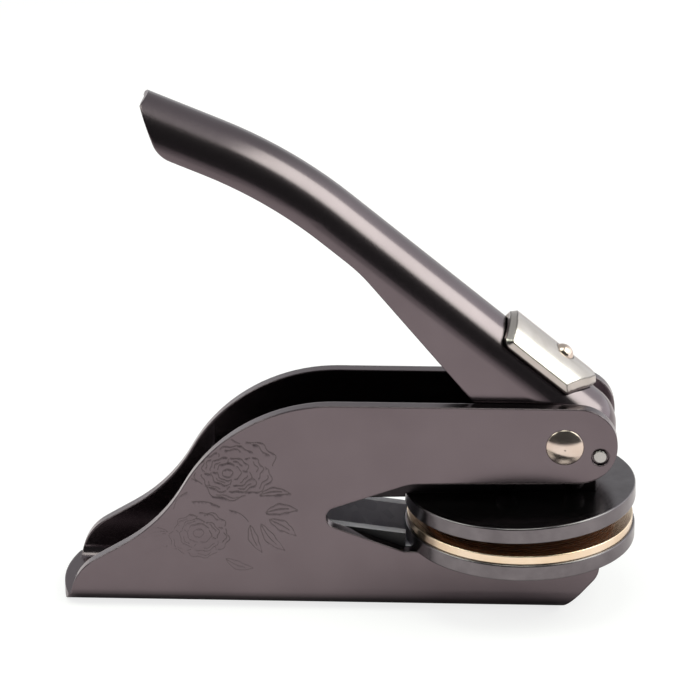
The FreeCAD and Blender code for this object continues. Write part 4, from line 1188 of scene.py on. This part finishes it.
    def room(self) -> None:
        """Dome that only reflections show: pale low down behind, dimmer above, bright at +X, dark in front.

        A sphere about the origin: its points are the radius times the unit vector of two angles. The glow
        falls with height along a smooth step, grows along one towards +X, and falls to almost nothing
        along another towards -Y.
        """
        columns, rows = self.room_columns, self.room_rows
        turn, rise = np.meshgrid(np.linspace(0.0, 2.0 * math.pi, columns, endpoint=False),
                                 np.linspace(-self.room_rise, self.room_rise, rows), indexing="ij")
        points = self.room_m * np.stack([np.cos(turn) * np.cos(rise), np.sin(turn) * np.cos(rise),
                                         np.sin(rise)], 2).reshape(-1, 3)
        column, row = np.meshgrid(np.arange(columns), np.arange(rows - 1), indexing="ij")
        near, far = column * rows + row, (column + 1) % columns * rows + row
        sides = np.stack([near, near + 1, far + 1, far], 2).reshape(-1, 4).tolist()
        caps = [list(range(0, columns * rows, rows)), list(range(rows - 1, columns * rows, rows))[::-1]]
        dome = mesh_object("mirrored_room", points, sides + caps)
        material, tree = blank_material("unlit_room_wall")
        place = add(tree, "ShaderNodeTexCoord").outputs["Object"]
        way = add(tree, "ShaderNodeVectorMath", {"operation": "NORMALIZE"}, {0: place})
        part = add(tree, "ShaderNodeSeparateXYZ", None, {"Vector": way.outputs["Vector"]})
        high, right, front = (
            add(tree, "ShaderNodeMapRange", SMOOTH, ramp.sockets(part.outputs[axis]))
            for axis, ramp in (("Z", self.room_height), ("X", self.room_right), ("Y", self.room_front)))
        wall = add(tree, "ShaderNodeMath", {"operation": "ADD"}, {
            0: high.outputs["Result"], 1: right.outputs["Result"]})
        both = add(tree, "ShaderNodeMath", {"operation": "MULTIPLY_ADD"}, {
            0: wall.outputs["Value"], 1: front.outputs["Result"], 2: self.room_glow})
        glow = add(tree, "ShaderNodeEmission", None, {
            "Color": self.room_tint, "Strength": both.outputs["Value"]})
        add(tree, "ShaderNodeOutputMaterial", None, {"Surface": glow.outputs["Emission"]})
        dome.data.materials.append(material)
        dome.visible_camera = False
        dome.visible_diffuse = False
        dome.visible_transmission = False
        dome.visible_shadow = False

    def build(self) -> None:
        """Put up the sweep, the world, the room and the lamps."""
        self.floor()
        self.backdrop()
        self.room()
        for box in self.boxes:
            box.build(Vector(self.aim))
        bpy.context.scene.view_settings.view_transform = "Standard"
        log.info("studio: %d panels", len(self.boxes))


@dataclass
class ProductCamera:
    """Long lens, a little above the object and square to its side."""

    focal_px: float = 3156.0
    frame_px: float = 700.0
    sensor_mm: float = 36.0
    yaw_deg: float = 2.72
    pitch_deg: float = 21.97
    roll_deg: float = -0.29
    distance_mm: float = 767.8
    target_mm: tuple[float, float, float] = (0.0, 10.38, 58.9)
    clip_m: tuple[float, float] = (0.05, 20.0)

    def build(self) -> None:
        """Place the camera by its yaw, pitch and roll about the target."""
        yaw, pitch, roll = (math.radians(turn) for turn in (self.yaw_deg, self.pitch_deg, self.roll_deg))
        ahead = Vector((-math.sin(yaw) * math.cos(pitch), math.cos(yaw) * math.cos(pitch), -math.sin(pitch)))
        level = Vector((math.cos(yaw), math.sin(yaw), 0.0))
        rise = level.cross(ahead)
        right = math.cos(roll) * level + math.sin(roll) * rise
        up = -math.sin(roll) * level + math.cos(roll) * rise
        lens = bpy.data.cameras.new("product_camera")
        lens.sensor_width = self.sensor_mm
        lens.lens = self.focal_px * self.sensor_mm / self.frame_px
        lens.clip_start, lens.clip_end = self.clip_m
        item = bpy.data.objects.new("product_camera", lens)
        place = (Vector(self.target_mm) - ahead * self.distance_mm) * MM
        item.matrix_world = Matrix(((right.x, up.x, -ahead.x, place.x), (right.y, up.y, -ahead.y, place.y),
                                    (right.z, up.z, -ahead.z, place.z), (0.0, 0.0, 0.0, 1.0)))
        bpy.context.scene.collection.objects.link(item)
        bpy.context.scene.camera = item


def main() -> None:
    """Dress every sub-assembly, then set the studio and the camera."""
    logging.basicConfig(level=logging.INFO, format="%(name)s: %(message)s")
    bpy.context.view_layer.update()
    for part in (FoldedFrame(), DieSet(), InnerWorks(), Lever(), Studio(), ProductCamera()):
        part.build()


if __name__ == "__main__":
    main()
